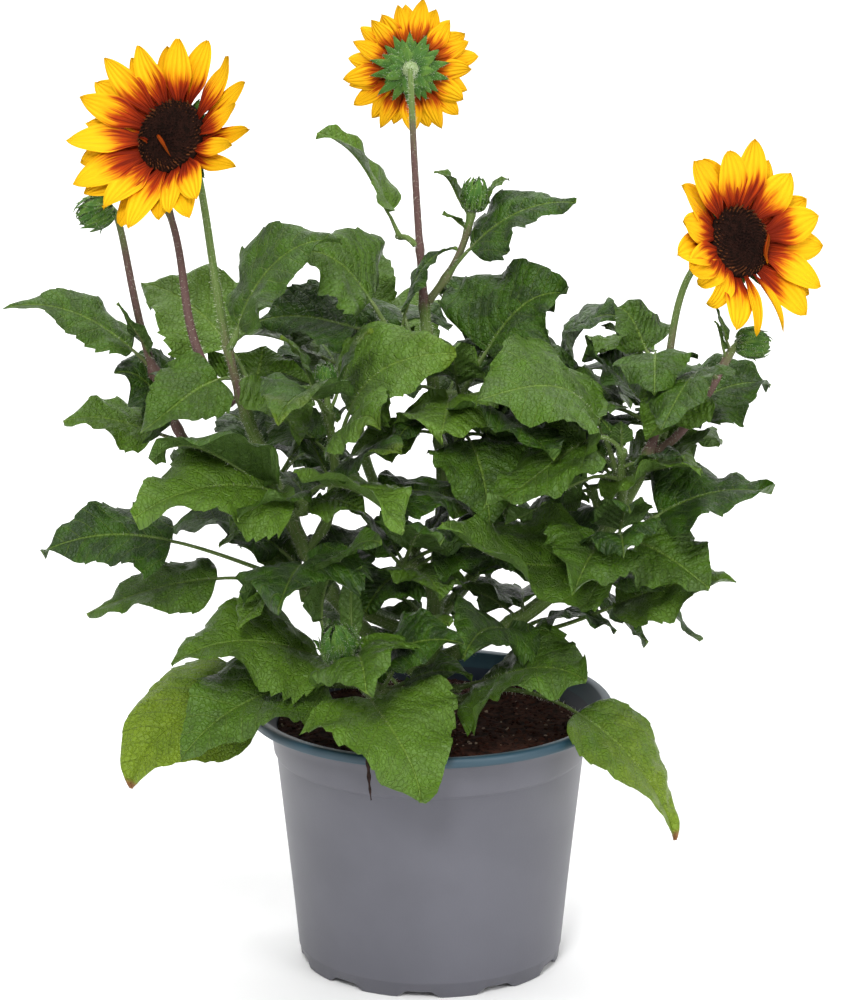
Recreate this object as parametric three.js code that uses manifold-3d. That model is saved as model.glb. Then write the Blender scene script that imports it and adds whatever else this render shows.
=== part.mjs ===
// A potted, branching sunflower: one plant with three open blooms, nodding buds and broad leaves.
// Millimetres, +Z up. The origin is the middle of the pot's underside, and the viewer stands at -Y.
// Compass headings are in degrees, counted from +X towards +Y. Rises are in degrees above level.

import * as THREE from 'three';
import { mergeVertices } from 'three/addons/utils/BufferGeometryUtils.js';
import Module from 'manifold-3d';

const manifold = await Module();
manifold.setup();

// Driving dimensions

const CLEARANCE = 0.3; // gap between touching pieces
const SEED = 1907;
const GOLDEN_TURN = 137.5;

const POT = {
  height: 138.6,
  lipRadius: 95,
  lipWidth: 5.4,
  lipHeight: 4.6,
  neckRadius: 82.4,
  footRadius: 67.8,
  wall: 2,
  floor: 2.2,
  collarDrop: 26,
  collarStep: 1.4,
  recess: 2.6,
  footRing: 8,
  padRadius: 14,
  feet: 10,
  notchWidth: 13,
  notchHeight: 3.2,
  sides: 36,
};

const SOIL_TOP = 126;

// Outlines: shares of a blade's length, each with its share of the half width.
const LEAF_OUTLINE = [[0.05, 0.62], [0.18, 0.98], [0.34, 0.9], [0.52, 0.84], [0.7, 0.5], [0.87, 0.24]];
const SLIM_OUTLINE = [[0.15, 0.8], [0.45, 1], [0.8, 0.45]];
const PETAL_OUTLINE = [[0, 0.4], [0.5, 1], [0.84, 0.62]];
const SPARE_OUTLINE = [[0.07, 0.72], [0.3, 1], [0.7, 0.52]];
const BRACT_OUTLINE = [[0, 0.9], [0.6, 0.6]];
const PETIOLE_SHARES = [0, 0.35, 0.75];
const SPARE_PETIOLE_SHARES = [0, 0.6];

const COLOURS = {
  pot: 0x6e6f7a,
  soil: 0x2c1712,
  stem: 0x5c6b35,
  stalk: 0x5d4a45,
  leaf: 0x2f6b1c,
  oldLeaf: 0x7d9a26,
  bloom: 0xf6b818,
};

// Limbs leave their parent at a share of its length and end at a place or in a bloom.
// leave and arrive are a heading and a rise, pull says how far each end's direction carries,
// as a share of the span, and thick is the radius at the foot and at the tip.

const LIMBS = [
  { name: 'main_stem', from: [0, 0, SOIL_TOP + CLEARANCE], to: [6, 7, 236], leave: [0, 90],
    arrive: [60, 82], thick: [5, 4.1], flare: 2.6 },
  { name: 'centre_bough', on: 'main_stem', at: 1, to: [-2, 20, 334], arrive: [150, 84],
    thick: [3.8, 3.1] },
  { name: 'left_bough', on: 'main_stem', at: 0.22, to: [-89, -22, 287], leave: [195, 36],
    arrive: [188, 68], thick: [4.2, 3.6] },
  { name: 'right_bough', on: 'main_stem', at: 0.3, to: [107, -14, 265], leave: [350, 26],
    arrive: [354, 64], thick: [4.1, 3.6] },
  { name: 'back_left_bough', on: 'main_stem', at: 0.42, to: [-124, 20, 268], leave: [165, 14],
    arrive: [186, 60], thick: [3.3, 2.8] },
  { name: 'back_right_bough', on: 'main_stem', at: 0.5, to: [52, 62, 268], leave: [52, 26],
    arrive: [60, 74], thick: [3.3, 2.8] },
  { name: 'back_bough', on: 'main_stem', at: 0.66, to: [-38, 66, 272], leave: [116, 30],
    arrive: [115, 74], thick: [3.1, 2.7] },
  { name: 'top_bloom_stalk', on: 'centre_bough', at: 1, bloom: 'top_bloom', pull: [0.5, 0.14],
    thick: [2.9, 2] },
  { name: 'left_bloom_stalk', on: 'left_bough', at: 1, bloom: 'left_bloom', pull: [0.4, 0.16],
    thick: [3.2, 2.4] },
  { name: 'right_bloom_stalk', on: 'right_bough', at: 1, bloom: 'right_bloom', pull: [0.4, 0.45],
    thick: [3, 2.2] },
];

// Blooms: the middle of the disc, the way it faces, and its sizes. cup is the petals' rise.

const BLOOMS = [
  { name: 'left_bloom', at: [-129, -30, 444], facing: [237, 27], radius: 53, disc: 19, petals: 22, cup: 24 },
  { name: 'right_bloom', at: [156, -15, 387], facing: [309, 21], radius: 53, disc: 18.5, petals: 20, cup: 20 },
  { name: 'top_bloom', at: [-10, 50, 464], facing: [90, -6], radius: 36, disc: 13.5, petals: 23, cup: 10 },
];
const BLOOM_DEPTH = 12; // from the disc's middle back to the stalk

// Sprays: each has one stem, with its leaves fused on, and some end in a bud.
// A leaf leaves at a share of the stem. Its tip is at a heading, a level reach and a lift from
// there. rise and dip are how steeply its foot and its tip climb, turn is how far its foot points
// away from its heading, bare is the share of its length without blade, roll lifts the left side
// of the blade, fold lifts both, and pull is as for limbs. A rule adds the leaves that the front
// doesn't show.

const SPRAYS = [
  { name: 'outer_left_spray',
    stem: { on: 'back_left_bough', at: 1, to: [-165, 11, 399], arrive: [188, -25], pull: [0.5, 0.1],
      thick: [2.4, 1.7] },
    bud: { radius: 9 },
    leaves: [
      { at: 0.1, heading: 203, reach: 34, lift: 33, width: 62, rise: 60, dip: -10, bare: 0.12, roll: -42 },
      { at: 0.04, heading: 191, reach: 63, lift: 15, width: 38, rise: 20, dip: -12, roll: -32 },
      { at: 0.34, heading: 193, reach: 77, lift: 37, width: 36, rise: 50, dip: -12, bare: 0.18, roll: -32 },
      { at: 0.33, heading: 223, reach: 23, lift: 41, width: 15, rise: 80, dip: 60 },
    ] },
  { name: 'hidden_bud_spray',
    stem: { on: 'left_bloom_stalk', at: 0.08, to: [-137, 2, 411], leave: [164, 42], arrive: [160, 62],
      thick: [2.5, 1.7] },
    bud: { radius: 8 },
    leaves: [
      { at: 0.93, heading: 200, reach: 12, lift: 14, width: 8, rise: 60, dip: 20 },
      { at: 0.9, heading: 20, reach: 14, lift: 10, width: 8, rise: 50, dip: 10 },
    ] },
  { name: 'left_fork_spray',
    stem: { on: 'left_bough', at: 0.7, to: [-62, -40, 258], leave: [290, 30], thick: [2.4, 1.8] },
    leaves: [
      { at: 0.9, heading: 208, reach: 96, lift: 5, width: 74, rise: 30, dip: -28, bare: 0.16, roll: -18,
        fold: 20 },
    ],
    rule: { leaves: 4, from: 0.3, heading: 250, reach: 52, lift: -10, width: 44 } },
  { name: 'left_stalk_leaf',
    stem: { on: 'left_bloom_stalk', at: 0.3, to: [-98, -24, 341], leave: [300, 40], thick: [1.8, 1.4] },
    leaves: [
      { at: 0.8, heading: 346, reach: 56, lift: 52, width: 56, rise: 76, dip: -12, bare: 0.08, roll: 38 },
    ] },
  { name: 'left_upper_spray',
    stem: { on: 'left_bloom_stalk', at: 0.14, to: [-90, -4, 306], leave: [70, 50], thick: [2, 1.5] },
    leaves: [
      { at: 0.9, heading: 141, reach: 76, lift: 46, width: 58, rise: 60, dip: 0, roll: -20 },
      { at: 0.7, heading: 75, reach: 21, lift: 17, width: 54, rise: 10, dip: 80, roll: 0 },
    ],
    rule: { leaves: 5, from: 0.3, heading: 60, reach: 54, lift: -4, width: 46 } },
  { name: 'centre_bud_spray',
    stem: { on: 'left_bough', at: 0.58, to: [-52, -44, 320], leave: [330, 50], arrive: [260, 84],
      thick: [2.4, 1.6] },
    bud: { radius: 6.5 },
    leaves: [
      { at: 0.8, heading: 191, reach: 25, lift: 44, width: 24, rise: 55, dip: 20 },
      { at: 0.84, heading: 355, reach: 23, lift: 43, width: 24, rise: 60, dip: 15 },
      { at: 0.1, heading: 345, reach: 71, lift: 98, width: 66, rise: 78, dip: 4, bare: 0.48, roll: 40,
        pull: [0.5, 0.5], fold: 8 },
    ],
    rule: { leaves: 5, from: 0.15, heading: 250, reach: 50, lift: -6, width: 42 } },
  { name: 'low_left_spray',
    stem: { on: 'left_bough', at: 0.42, to: [-58, -24, 206], leave: [215, 20], thick: [2.4, 1.8] },
    leaves: [
      { at: 0.7, heading: 187, reach: 140, lift: 25, width: 50, rise: 22, dip: -25, bare: 0.54, roll: -28 },
      { at: 0.9, heading: 174, reach: 120, lift: -16, width: 42, rise: 15, dip: -25, bare: 0.42, roll: -28 },
    ],
    rule: { leaves: 5, from: 0.25, heading: 140, reach: 66, lift: 0, width: 48 } },
  { name: 'left_front_leaves',
    stem: { on: 'main_stem', at: 0.13, to: [-26, -23, 152], leave: [222, 16], thick: [2.8, 2] },
    leaves: [
      { at: 0.8, heading: 202, reach: 118, lift: 29, width: 72, rise: 35, dip: -30, bare: 0.35, roll: -28 },
      { at: 0.6, heading: 210, reach: 126, lift: -15, width: 70, rise: 25, dip: -50, bare: 0.32, roll: -22 },
    ],
    rule: { leaves: 4, from: 0.4, heading: 150, reach: 66, lift: 10, width: 48 } },
  { name: 'left_old_leaf',
    stem: { on: 'main_stem', at: 0.07, to: [-18, 9, 144], leave: [154, 30], thick: [2.4, 1.9] },
    leaves: [
      { at: 0.8, heading: 199, reach: 147, lift: -38, width: 72, rise: 12, dip: -78, bare: 0.5, roll: -26 },
    ] },
  { name: 'front_low_shoot',
    stem: { on: 'main_stem', at: 0.06, to: [-44, -58, 182], leave: [250, 26], arrive: [240, 66],
      thick: [2.8, 2.2] },
    bud: { radius: 11.5 },
    leaves: [
      { at: 0.66, heading: 292, reach: 74, lift: -37, width: 80, turn: -30, rise: 16, dip: -80, bare: 0.24 },
      { at: 0.92, heading: 335, reach: 66, lift: 20, width: 44, rise: 20, dip: -12, roll: 30 },
      { at: 0.96, heading: 310, reach: 30, lift: 69, width: 40, turn: -130, pull: [0.5, 0.4], rise: 40,
        dip: -5, roll: 25 },
      { at: 0.9, heading: 300, reach: 15, lift: 58, width: 13, rise: 70, dip: 20 },
    ] },
  { name: 'inner_front_spray',
    stem: { on: 'main_stem', at: 0.66, to: [-14, -20, 218], thick: [2.6, 2] },
    leaves: [
      { at: 0.9, heading: 206, reach: 40, lift: 41, width: 34, rise: 40, dip: 10, roll: -20 },
      { at: 0.7, heading: 230, reach: 36, lift: -13, width: 46, rise: 15, dip: -50, roll: -10 },
      { at: 0.8, heading: 292, reach: 43, lift: -4, width: 46, rise: 15, dip: -50 },
    ],
    rule: { leaves: 7, from: 0.55, heading: 330, reach: 56, lift: 0, width: 44 } },
  { name: 'right_front_leaf',
    stem: { on: 'main_stem', at: 0.17, to: [15, -16, 151], thick: [2.6, 2] },
    leaves: [
      { at: 0.8, heading: 319, reach: 88, lift: 23, width: 80, rise: 22, dip: -16, bare: 0.2, roll: 20,
        fold: 4 },
    ],
    rule: { leaves: 4, from: 0.4, heading: 20, reach: 70, lift: 10, width: 48 } },
  { name: 'right_old_leaf',
    stem: { on: 'main_stem', at: 0.07, to: [18, -6, 142], leave: [340, 40], thick: [2.2, 1.8] },
    leaves: [
      { at: 0.8, heading: 331, reach: 125, lift: -56, width: 54, rise: 32, dip: -76, bare: 0.46, roll: 10 },
    ] },
  { name: 'right_low_spray',
    stem: { on: 'right_bough', at: 0.28, to: [48, 10, 170], leave: [50, -16], thick: [2.4, 1.9] },
    leaves: [
      { at: 0.8, heading: 345, reach: 113, lift: 38, width: 50, rise: 14, dip: -4, bare: 0.45, roll: 30 },
    ],
    rule: { leaves: 5, from: 0.6, heading: 60, reach: 64, lift: 0, width: 46 } },
  { name: 'right_back_spray',
    stem: { on: 'right_bough', at: 0.5, to: [76, 20, 204], leave: [90, 15], thick: [2.2, 1.7] },
    leaves: [
      { at: 0.9, heading: 14, reach: 70, lift: -43, width: 30, rise: 0, dip: -45, bare: 0.3, roll: 20 },
      { at: 0.6, heading: 20, reach: 46, lift: -42, width: 34, rise: -10, dip: -30, bare: 0.2, roll: 20 },
    ],
    rule: { leaves: 4, from: 0.3, heading: 60, reach: 58, lift: 4, width: 46 } },
  { name: 'right_mid_spray',
    stem: { on: 'right_bough', at: 0.72, to: [96, -34, 232], leave: [290, 10], thick: [2.4, 1.8] },
    leaves: [
      { at: 0.9, heading: 205, reach: 98, lift: 25, width: 80, rise: -20, dip: 44, bare: 0.12, fold: 16,
        roll: -24 },
      { at: 0.7, heading: 359, reach: 80, lift: 28, width: 62, rise: 40, dip: -15, bare: 0.32, roll: 28 },
    ],
    rule: { leaves: 5, from: 0.6, heading: 80, reach: 56, lift: 4, width: 46 } },
  { name: 'right_fork_spray',
    stem: { on: 'right_bough', at: 0.86, to: [97, -36, 284], leave: [270, 40], thick: [2.4, 1.5] },
    leaves: [
      { at: 0.2, heading: 212, reach: 87, lift: 62, width: 84, rise: 76, dip: -10, bare: 0.36, roll: -34,
        pull: [0.6, 0.5], fold: 8 },
      { at: 0.7, heading: 329, reach: 36, lift: 10, width: 26, rise: 25, dip: -15 },
      { at: 0.95, heading: 265, reach: 12, lift: 20, width: 12, rise: 70, dip: 40 },
      { at: 0.95, heading: 150, reach: 14, lift: 18, width: 12, rise: 60, dip: 40 },
    ],
    rule: { leaves: 4, from: 0.3, heading: 120, reach: 52, lift: -4, width: 44 } },
  { name: 'right_upper_spray',
    stem: { on: 'right_bloom_stalk', at: 0.1, to: [118, 4, 284], leave: [60, 40], thick: [2.2, 1.7] },
    leaves: [
      { at: 0.9, heading: 15, reach: 60, lift: 21, width: 62, rise: 40, dip: -12, roll: 26 },
      { at: 0.8, heading: 159, reach: 41, lift: 38, width: 60, rise: 55, dip: 20 },
    ],
    rule: { leaves: 5, from: 0.3, heading: 60, reach: 54, lift: 2, width: 46 } },
  { name: 'right_bud_spray',
    stem: { on: 'right_bloom_stalk', at: 0.07, to: [160, 6, 330], leave: [0, 34], arrive: [8, -10],
      pull: [0.4, 0.12], thick: [2.3, 1.6] },
    bud: { radius: 8.5 },
    leaves: [
      { at: 0.86, heading: 150, reach: 8, lift: 24, width: 9, rise: 80, dip: 70 },
      { at: 0.8, heading: 200, reach: 6, lift: 22, width: 8, rise: 80, dip: 60 },
    ] },
  { name: 'right_stalk_leaf',
    stem: { on: 'right_bloom_stalk', at: 0.38, to: [112, 3, 324], leave: [150, 40], thick: [1.7, 1.3] },
    leaves: [
      { at: 0.8, heading: 148, reach: 22, lift: 24, width: 38, rise: 50, dip: -10, bare: 0.15, roll: -20 },
    ] },
  { name: 'right_small_bud_spray',
    stem: { on: 'back_right_bough', at: 0.94, to: [103, 40, 330], leave: [350, 40], arrive: [20, 86],
      thick: [2, 1.4] },
    bud: { radius: 6 },
    leaves: [
      { at: 0.9, heading: 160, reach: 14, lift: 8, width: 10, rise: 60, dip: 0 },
      { at: 0.6, heading: 60, reach: 46, lift: 14, width: 34, rise: 50, dip: -10 },
    ] },
  { name: 'centre_top_spray',
    stem: { on: 'centre_bough', at: 0.86, to: [-19, 8, 329], leave: [205, 40], thick: [2.2, 1.8] },
    leaves: [
      { at: 0.9, heading: 188, reach: 52, lift: 47, width: 70, rise: 62, dip: -28, bare: 0.34, roll: -28 },
      { at: 0.7, heading: 354, reach: 29, lift: 51, width: 22, turn: -80, rise: 70, dip: 5 },
      { at: 0.5, heading: 184, reach: 78, lift: 12, width: 46, rise: 15, dip: -20, bare: 0.35, roll: -28 },
    ],
    rule: { leaves: 5, from: 0.3, heading: 100, reach: 58, lift: 4, width: 48 } },
  { name: 'top_stalk_leaf',
    stem: { on: 'top_bloom_stalk', at: 0.3, to: [-17, 30, 380], leave: [190, 45], thick: [1.6, 1.3] },
    leaves: [
      { at: 0.8, heading: 183, reach: 42, lift: 55, width: 34, rise: 65, dip: 14, bare: 0.2, roll: -35 },
    ] },
  { name: 'top_right_bud_spray',
    stem: { on: 'top_bloom_stalk', at: 0.08, to: [22, 33, 396], leave: [15, 50], arrive: [20, 80],
      thick: [2.1, 1.6] },
    bud: { radius: 8 },
    leaves: [
      { at: 0.22, heading: 355, reach: 67, lift: 41, width: 44, rise: 55, dip: -5, bare: 0.25, roll: 24 },
      { at: 0.88, heading: 193, reach: 19, lift: 25, width: 20, rise: 50, dip: 10 },
      { at: 0.92, heading: 15, reach: 20, lift: 17, width: 18, rise: 45, dip: 10 },
      { at: 0.75, heading: 215, reach: 16, lift: 10, width: 12, rise: 40, dip: 0 },
    ] },
  { name: 'centre_right_spray',
    stem: { on: 'centre_bough', at: 0.6, to: [16, 6, 300], thick: [2.6, 2] },
    leaves: [
      { at: 0.9, heading: 3, reach: 55, lift: 55, width: 78, rise: 60, dip: -10, bare: 0.34, roll: 36 },
    ],
    rule: { leaves: 6, from: 0.3, heading: 20, reach: 56, lift: 2, width: 46 } },
  { name: 'centre_hanging_leaves',
    stem: { on: 'centre_bough', at: 0.4, to: [16, -10, 284], thick: [2.4, 1.9] },
    leaves: [
      { at: 0.8, heading: 289, reach: 49, lift: -33, width: 54, rise: 40, dip: -82 },
      { at: 0.5, heading: 184, reach: 56, lift: -14, width: 38, rise: 25, dip: -60, roll: -15 },
    ],
    rule: { leaves: 5, from: 0.3, heading: 330, reach: 52, lift: -6, width: 44 } },
  { name: 'right_hanging_leaf',
    stem: { on: 'right_bough', at: 0.8, to: [82, -4, 256], leave: [150, 40], thick: [1.9, 1.5] },
    leaves: [
      { at: 0.8, heading: 204, reach: 21, lift: -9, width: 34, rise: 35, dip: -70 },
    ],
    rule: { leaves: 4, from: 0.3, heading: 150, reach: 48, lift: -6, width: 42 } },
  { name: 'back_right_spray',
    stem: { on: 'back_right_bough', at: 1, to: [58, 70, 318], thick: [2.5, 1.8] },
    leaves: [
      { at: 0.25, heading: 325, reach: 54, lift: 56, width: 70, rise: 50, dip: -8, bare: 0.3, roll: 30 },
    ],
    rule: { leaves: 8, from: 0.1, heading: 40, reach: 78, lift: 6, width: 58 } },
  { name: 'back_spray',
    stem: { on: 'back_bough', at: 1, to: [-46, 80, 322], thick: [2.4, 1.8] },
    leaves: [],
    rule: { leaves: 8, from: 0.1, heading: 110, reach: 76, lift: 8, width: 58 } },
  { name: 'back_left_spray',
    stem: { on: 'back_left_bough', at: 0.6, to: [-78, 44, 250], leave: [120, 45], thick: [2.3, 1.7] },
    leaves: [],
    rule: { leaves: 6, from: 0.3, heading: 150, reach: 72, lift: 2, width: 54 } },
  { name: 'back_right_low_spray',
    stem: { on: 'back_right_bough', at: 0.45, to: [58, 34, 214], leave: [15, 35], thick: [2.3, 1.7] },
    leaves: [],
    rule: { leaves: 6, from: 0.3, heading: 20, reach: 74, lift: -8, width: 54 } },
  { name: 'back_low_leaves',
    stem: { on: 'main_stem', at: 0.3, to: [4, 22, 166], leave: [80, 30], thick: [2.6, 2] },
    leaves: [],
    rule: { leaves: 7, from: 0.4, heading: 95, reach: 100, lift: -12, width: 60 } },
];

const LEAF_SHAPE = { bare: 0.28, turn: 0, roll: 0, fold: 12, pull: [0.4, 0.35] };

// Vectors and curves

function direction([heading, rise]) {
  const h = THREE.MathUtils.degToRad(heading);
  const e = THREE.MathUtils.degToRad(rise);
  return new THREE.Vector3(Math.cos(h) * Math.cos(e), Math.sin(h) * Math.cos(e), Math.sin(e));
}

function lerp(a, b, share) {
  return a + (b - a) * share;
}

function bend(start, end, leave, arrive, [first, last] = [0.4, 0.4]) {
  const span = start.distanceTo(end);
  const nearStart = start.clone().addScaledVector(leave, span * first);
  const nearEnd = end.clone().addScaledVector(arrive, -span * last);
  return new THREE.CubicBezierCurve3(start, nearStart, nearEnd, end);
}

function perpendicular(v) {
  const axis = Math.abs(v.z) < 0.9 ? new THREE.Vector3(0, 0, 1) : new THREE.Vector3(1, 0, 0);
  return axis.addScaledVector(v, -axis.dot(v)).normalize();
}

// A seeded random number between 0 and 1.
function seededRandom(seed) {
  let state = seed >>> 0;
  return () => {
    state = (state + 0x6d2b79f5) >>> 0;
    let mixed = Math.imul(state ^ (state >>> 15), state | 1);
    mixed ^= mixed + Math.imul(mixed ^ (mixed >>> 7), mixed | 61);
    return ((mixed ^ (mixed >>> 14)) >>> 0) / 4294967296;
  };
}

// Stems

function footOf(spec, parent, leave) {
  if (!parent) return new THREE.Vector3(...spec.from);
  const place = parent.curve.getPointAt(spec.at);
  if (spec.at === 1) return place.addScaledVector(leave, CLEARANCE);
  const cosine = Math.abs(leave.dot(parent.curve.getTangentAt(spec.at)));
  const girth = lerp(parent.thick[0], parent.thick[1], spec.at);
  const away = (girth + CLEARANCE + spec.thick[0] * cosine) / Math.sqrt(1 - cosine * cosine);
  return place.addScaledVector(leave, away);
}

function growStem(spec, stems) {
  const parent = stems.get(spec.on);
  const bloom = BLOOMS.find((candidate) => candidate.name === spec.bloom);
  const end = new THREE.Vector3(...(bloom ? bloom.at : spec.to));
  const facing = bloom ? direction(bloom.facing) : null;
  if (bloom) end.addScaledVector(facing, -BLOOM_DEPTH - CLEARANCE);
  let leave = spec.leave ? direction(spec.leave) : null;
  if (parent && spec.at === 1) leave = parent.curve.getTangentAt(1);
  if (!leave) leave = end.clone().sub(parent.curve.getPointAt(spec.at)).normalize();
  const start = footOf(spec, parent, leave);
  let arrive = spec.arrive ? direction(spec.arrive) : end.clone().sub(start).normalize();
  if (bloom) arrive = facing;
  return { curve: bend(start, end, leave, arrive, spec.pull), thick: spec.thick, flare: spec.flare ?? 0 };
}

// Leaves

function leafSpine(stem, leaf) {
  const foot = stem.curve.getPointAt(leaf.at);
  const out = direction([leaf.heading, 0]);
  const tip = foot.clone().addScaledVector(out, leaf.reach);
  tip.z += leaf.lift;
  const leave = direction([leaf.heading + leaf.turn, leaf.rise]);
  const arrive = direction([leaf.heading, leaf.dip]);
  return bend(foot, tip, leave, arrive, leaf.pull);
}

// The blade's frame at a share of its spine: its middle, its way, its left side and its upper face.
function bladeFrame(spine, share, left, roll) {
  const middle = spine.getPointAt(share);
  const way = spine.getTangentAt(share);
  const side = left.clone().addScaledVector(way, -left.dot(way)).normalize();
  const upper = way.clone().cross(side);
  const turn = THREE.MathUtils.degToRad(roll);
  const rolledSide = side.clone().multiplyScalar(Math.cos(turn)).addScaledVector(upper, Math.sin(turn));
  const rolledUpper = upper.multiplyScalar(Math.cos(turn)).addScaledVector(side, -Math.sin(turn));
  return { middle, side: rolledSide, upper: rolledUpper };
}

function bladeEdge({ middle, side, upper }, half, fold, hand) {
  const lift = THREE.MathUtils.degToRad(fold);
  return middle.clone().addScaledVector(side, hand * half * Math.cos(lift))
    .addScaledVector(upper, half * Math.sin(lift));
}

// Clearance of the leaves that the rule adds

const PROBE_SHARES = [0.04, 0.16, 0.28, 0.4, 0.52, 0.64, 0.76, 0.88, 1];
const STALK_PROBE_SHARES = [0.6, 0.85];
const PROBE_SIDES = [-1, -0.5, 0, 0.5, 1];
const PROBE_GAP = 7.6;
const TRIES = 25;
const TRY_TURN = 29; // degrees between tries
const TRY_SHRINK = 0.012; // share lost at each try

function halfWidthAt(share) {
  return Math.sin(Math.PI * Math.min(share + 0.02, 1) ** 0.55);
}

function leafProbes(spine, leaf) {
  const left = direction([leaf.heading + 90, 0]);
  const probes = STALK_PROBE_SHARES.map((share) => spine.getPointAt(share * leaf.bare));
  for (const share of PROBE_SHARES) {
    const frame = bladeFrame(spine, lerp(leaf.bare, 1, share), left, leaf.roll);
    const half = (leaf.width / 2) * Math.max(halfWidthAt(share), 0);
    for (const side of PROBE_SIDES) {
      probes.push(bladeEdge(frame, Math.abs(side) * half, leaf.fold, Math.sign(side)));
    }
  }
  return probes;
}

function stemProbes({ curve }) {
  const steps = Math.ceil(curve.getLength() / 5);
  return curve.getSpacedPoints(steps);
}

function outsidePot(probe) {
  const outward = Math.hypot(probe.x, probe.y);
  return probe.z > POT.height + 4 || outward > POT.lipRadius + 4;
}

function isClear(probes, taken) {
  return probes.every((probe) => outsidePot(probe)
    && taken.every((other) => probe.distanceToSquared(other) > PROBE_GAP * PROBE_GAP));
}

// One leaf of a rule: the first of a few turned tries that is clear, or none.
function ruledLeaf(stem, rule, index, random, taken) {
  const share = rule.leaves > 1 ? index / (rule.leaves - 1) : 1;
  const size = lerp(1.05, 0.72, share) * lerp(0.9, 1.1, random());
  for (let attempt = 0; attempt < TRIES; attempt += 1) {
    const turn = TRY_TURN * Math.ceil(attempt / 2) * (attempt % 2 ? 1 : -1);
    const trial = size * (1 - TRY_SHRINK * attempt);
    const leaf = {
      ...LEAF_SHAPE,
      spare: true,
      at: lerp(rule.from, 0.97, share),
      heading: rule.heading + index * GOLDEN_TURN + turn,
      reach: rule.reach * trial,
      lift: rule.lift + lerp(-18, 18, random()) + 16 * share,
      width: rule.width * trial,
      rise: lerp(20, 60, random()),
      dip: lerp(-50, -15, random()),
      roll: lerp(-16, 16, random()),
    };
    const probes = leafProbes(leafSpine(stem, leaf), leaf);
    if (isClear(probes, taken)) {
      taken.push(...probes);
      return leaf;
    }
  }
  return null;
}

// Solids

function solidFrom(positions, faces) {
  return new manifold.Manifold(new manifold.Mesh({
    numProp: 3,
    vertProperties: Float32Array.from(positions.flatMap((p) => [p.x, p.y, p.z])),
    triVerts: Uint32Array.from(faces.flat()),
  }));
}

function solidOf(geometry) {
  const bare = geometry.index ? geometry.toNonIndexed() : geometry.clone();
  bare.deleteAttribute('normal');
  bare.deleteAttribute('uv');
  const merged = mergeVertices(bare, 1e-4);
  return new manifold.Manifold(new manifold.Mesh({
    numProp: 3,
    vertProperties: Float32Array.from(merged.attributes.position.array),
    triVerts: Uint32Array.from(merged.index.array),
  }));
}

// One solid from many: only the largest outer skin stays, so sealed hollows are filled.
function fuse(solids) {
  const whole = solids.reduce((sum, next) => sum.add(next));
  const skins = whole.decompose();
  return skins.reduce((largest, skin) => (skin.volume() > largest.volume() ? skin : largest));
}

// A tapering tube along a stretch of a curve, closed by a flat face at each end.
function tube(curve, [footRadius, tipRadius], { sides, steps, flare = 0, until = 1 }) {
  const positions = [];
  const faces = [];
  const length = curve.getLength() * until;
  let normal = perpendicular(curve.getTangentAt(0));
  for (let i = 0; i <= steps; i += 1) {
    const share = (i / steps) ** (flare ? 1.6 : 1);
    const middle = curve.getPointAt(share * until);
    const way = curve.getTangentAt(share * until);
    normal = normal.addScaledVector(way, -normal.dot(way)).normalize();
    const binormal = way.clone().cross(normal);
    const radius = lerp(footRadius, tipRadius, share) + flare * Math.exp((-share * length) / 5);
    for (let j = 0; j < sides; j += 1) {
      const angle = (2 * Math.PI * j) / sides;
      positions.push(middle.clone().addScaledVector(normal, radius * Math.cos(angle))
        .addScaledVector(binormal, radius * Math.sin(angle)));
    }
  }
  for (let i = 0; i < steps; i += 1) {
    for (let j = 0; j < sides; j += 1) {
      const a = i * sides + j;
      const b = i * sides + ((j + 1) % sides);
      faces.push([a, b, b + sides], [a, b + sides, a + sides]);
    }
  }
  const last = steps * sides;
  for (let j = 1; j < sides - 1; j += 1) {
    faces.push([0, j + 1, j], [last, last + j, last + j + 1]);
  }
  return solidFrom(positions, faces);
}

// A thin blade along a spine. Each row is a share of the spine, with the half width and the half
// thickness there. A row has an edge on each side, an upper rib and a lower rib.
function blade(spine, rows, { left, roll, fold }) {
  const positions = [spine.getPointAt(1)];
  const faces = [];
  for (const [share, half, rib, bladeShare = 1] of rows) {
    const frame = bladeFrame(spine, share, left, roll * bladeShare);
    positions.push(
      bladeEdge(frame, half, fold * bladeShare, 1),
      frame.middle.clone().addScaledVector(frame.upper, rib),
      bladeEdge(frame, half, fold * bladeShare, -1),
      frame.middle.clone().addScaledVector(frame.upper, -rib),
    );
  }
  const corner = (row, side) => 1 + 4 * row + (side % 4);
  faces.push([corner(0, 0), corner(0, 2), corner(0, 1)], [corner(0, 0), corner(0, 3), corner(0, 2)]);
  for (let side = 0; side < 4; side += 1) {
    for (let row = 0; row + 1 < rows.length; row += 1) {
      const [a, b, c, d] = [corner(row, side), corner(row, side + 1), corner(row + 1, side + 1),
        corner(row + 1, side)];
      faces.push([a, b, c], [a, c, d]);
    }
    faces.push([corner(rows.length - 1, side), corner(rows.length - 1, side + 1), 0]);
  }
  return solidFrom(positions, faces);
}

function leafSolid(stem, leaf) {
  const spine = leafSpine(stem, leaf);
  const thick = Math.max(1.2, spine.getLength() / 70);
  const girth = 1 + leaf.width * 0.013;
  const petiole = (leaf.spare ? SPARE_PETIOLE_SHARES : PETIOLE_SHARES).map((share) => {
    const radius = girth * lerp(1, 0.6, share);
    return [share * leaf.bare, radius, radius, 0];
  });
  let outline = leaf.spare ? SPARE_OUTLINE : LEAF_OUTLINE;
  if (leaf.width <= 26) outline = SLIM_OUTLINE;
  const rows = outline.map(([share, spread]) => [
    lerp(leaf.bare, 1, share), (leaf.width / 2) * spread, (thick / 2) * lerp(1, 0.6, share),
  ]);
  return blade(spine, [...petiole, ...rows], {
    left: direction([leaf.heading + 90, 0]),
    roll: leaf.roll,
    fold: leaf.fold,
  });
}

// Heads: the local frame has +Z the way the head faces

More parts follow.
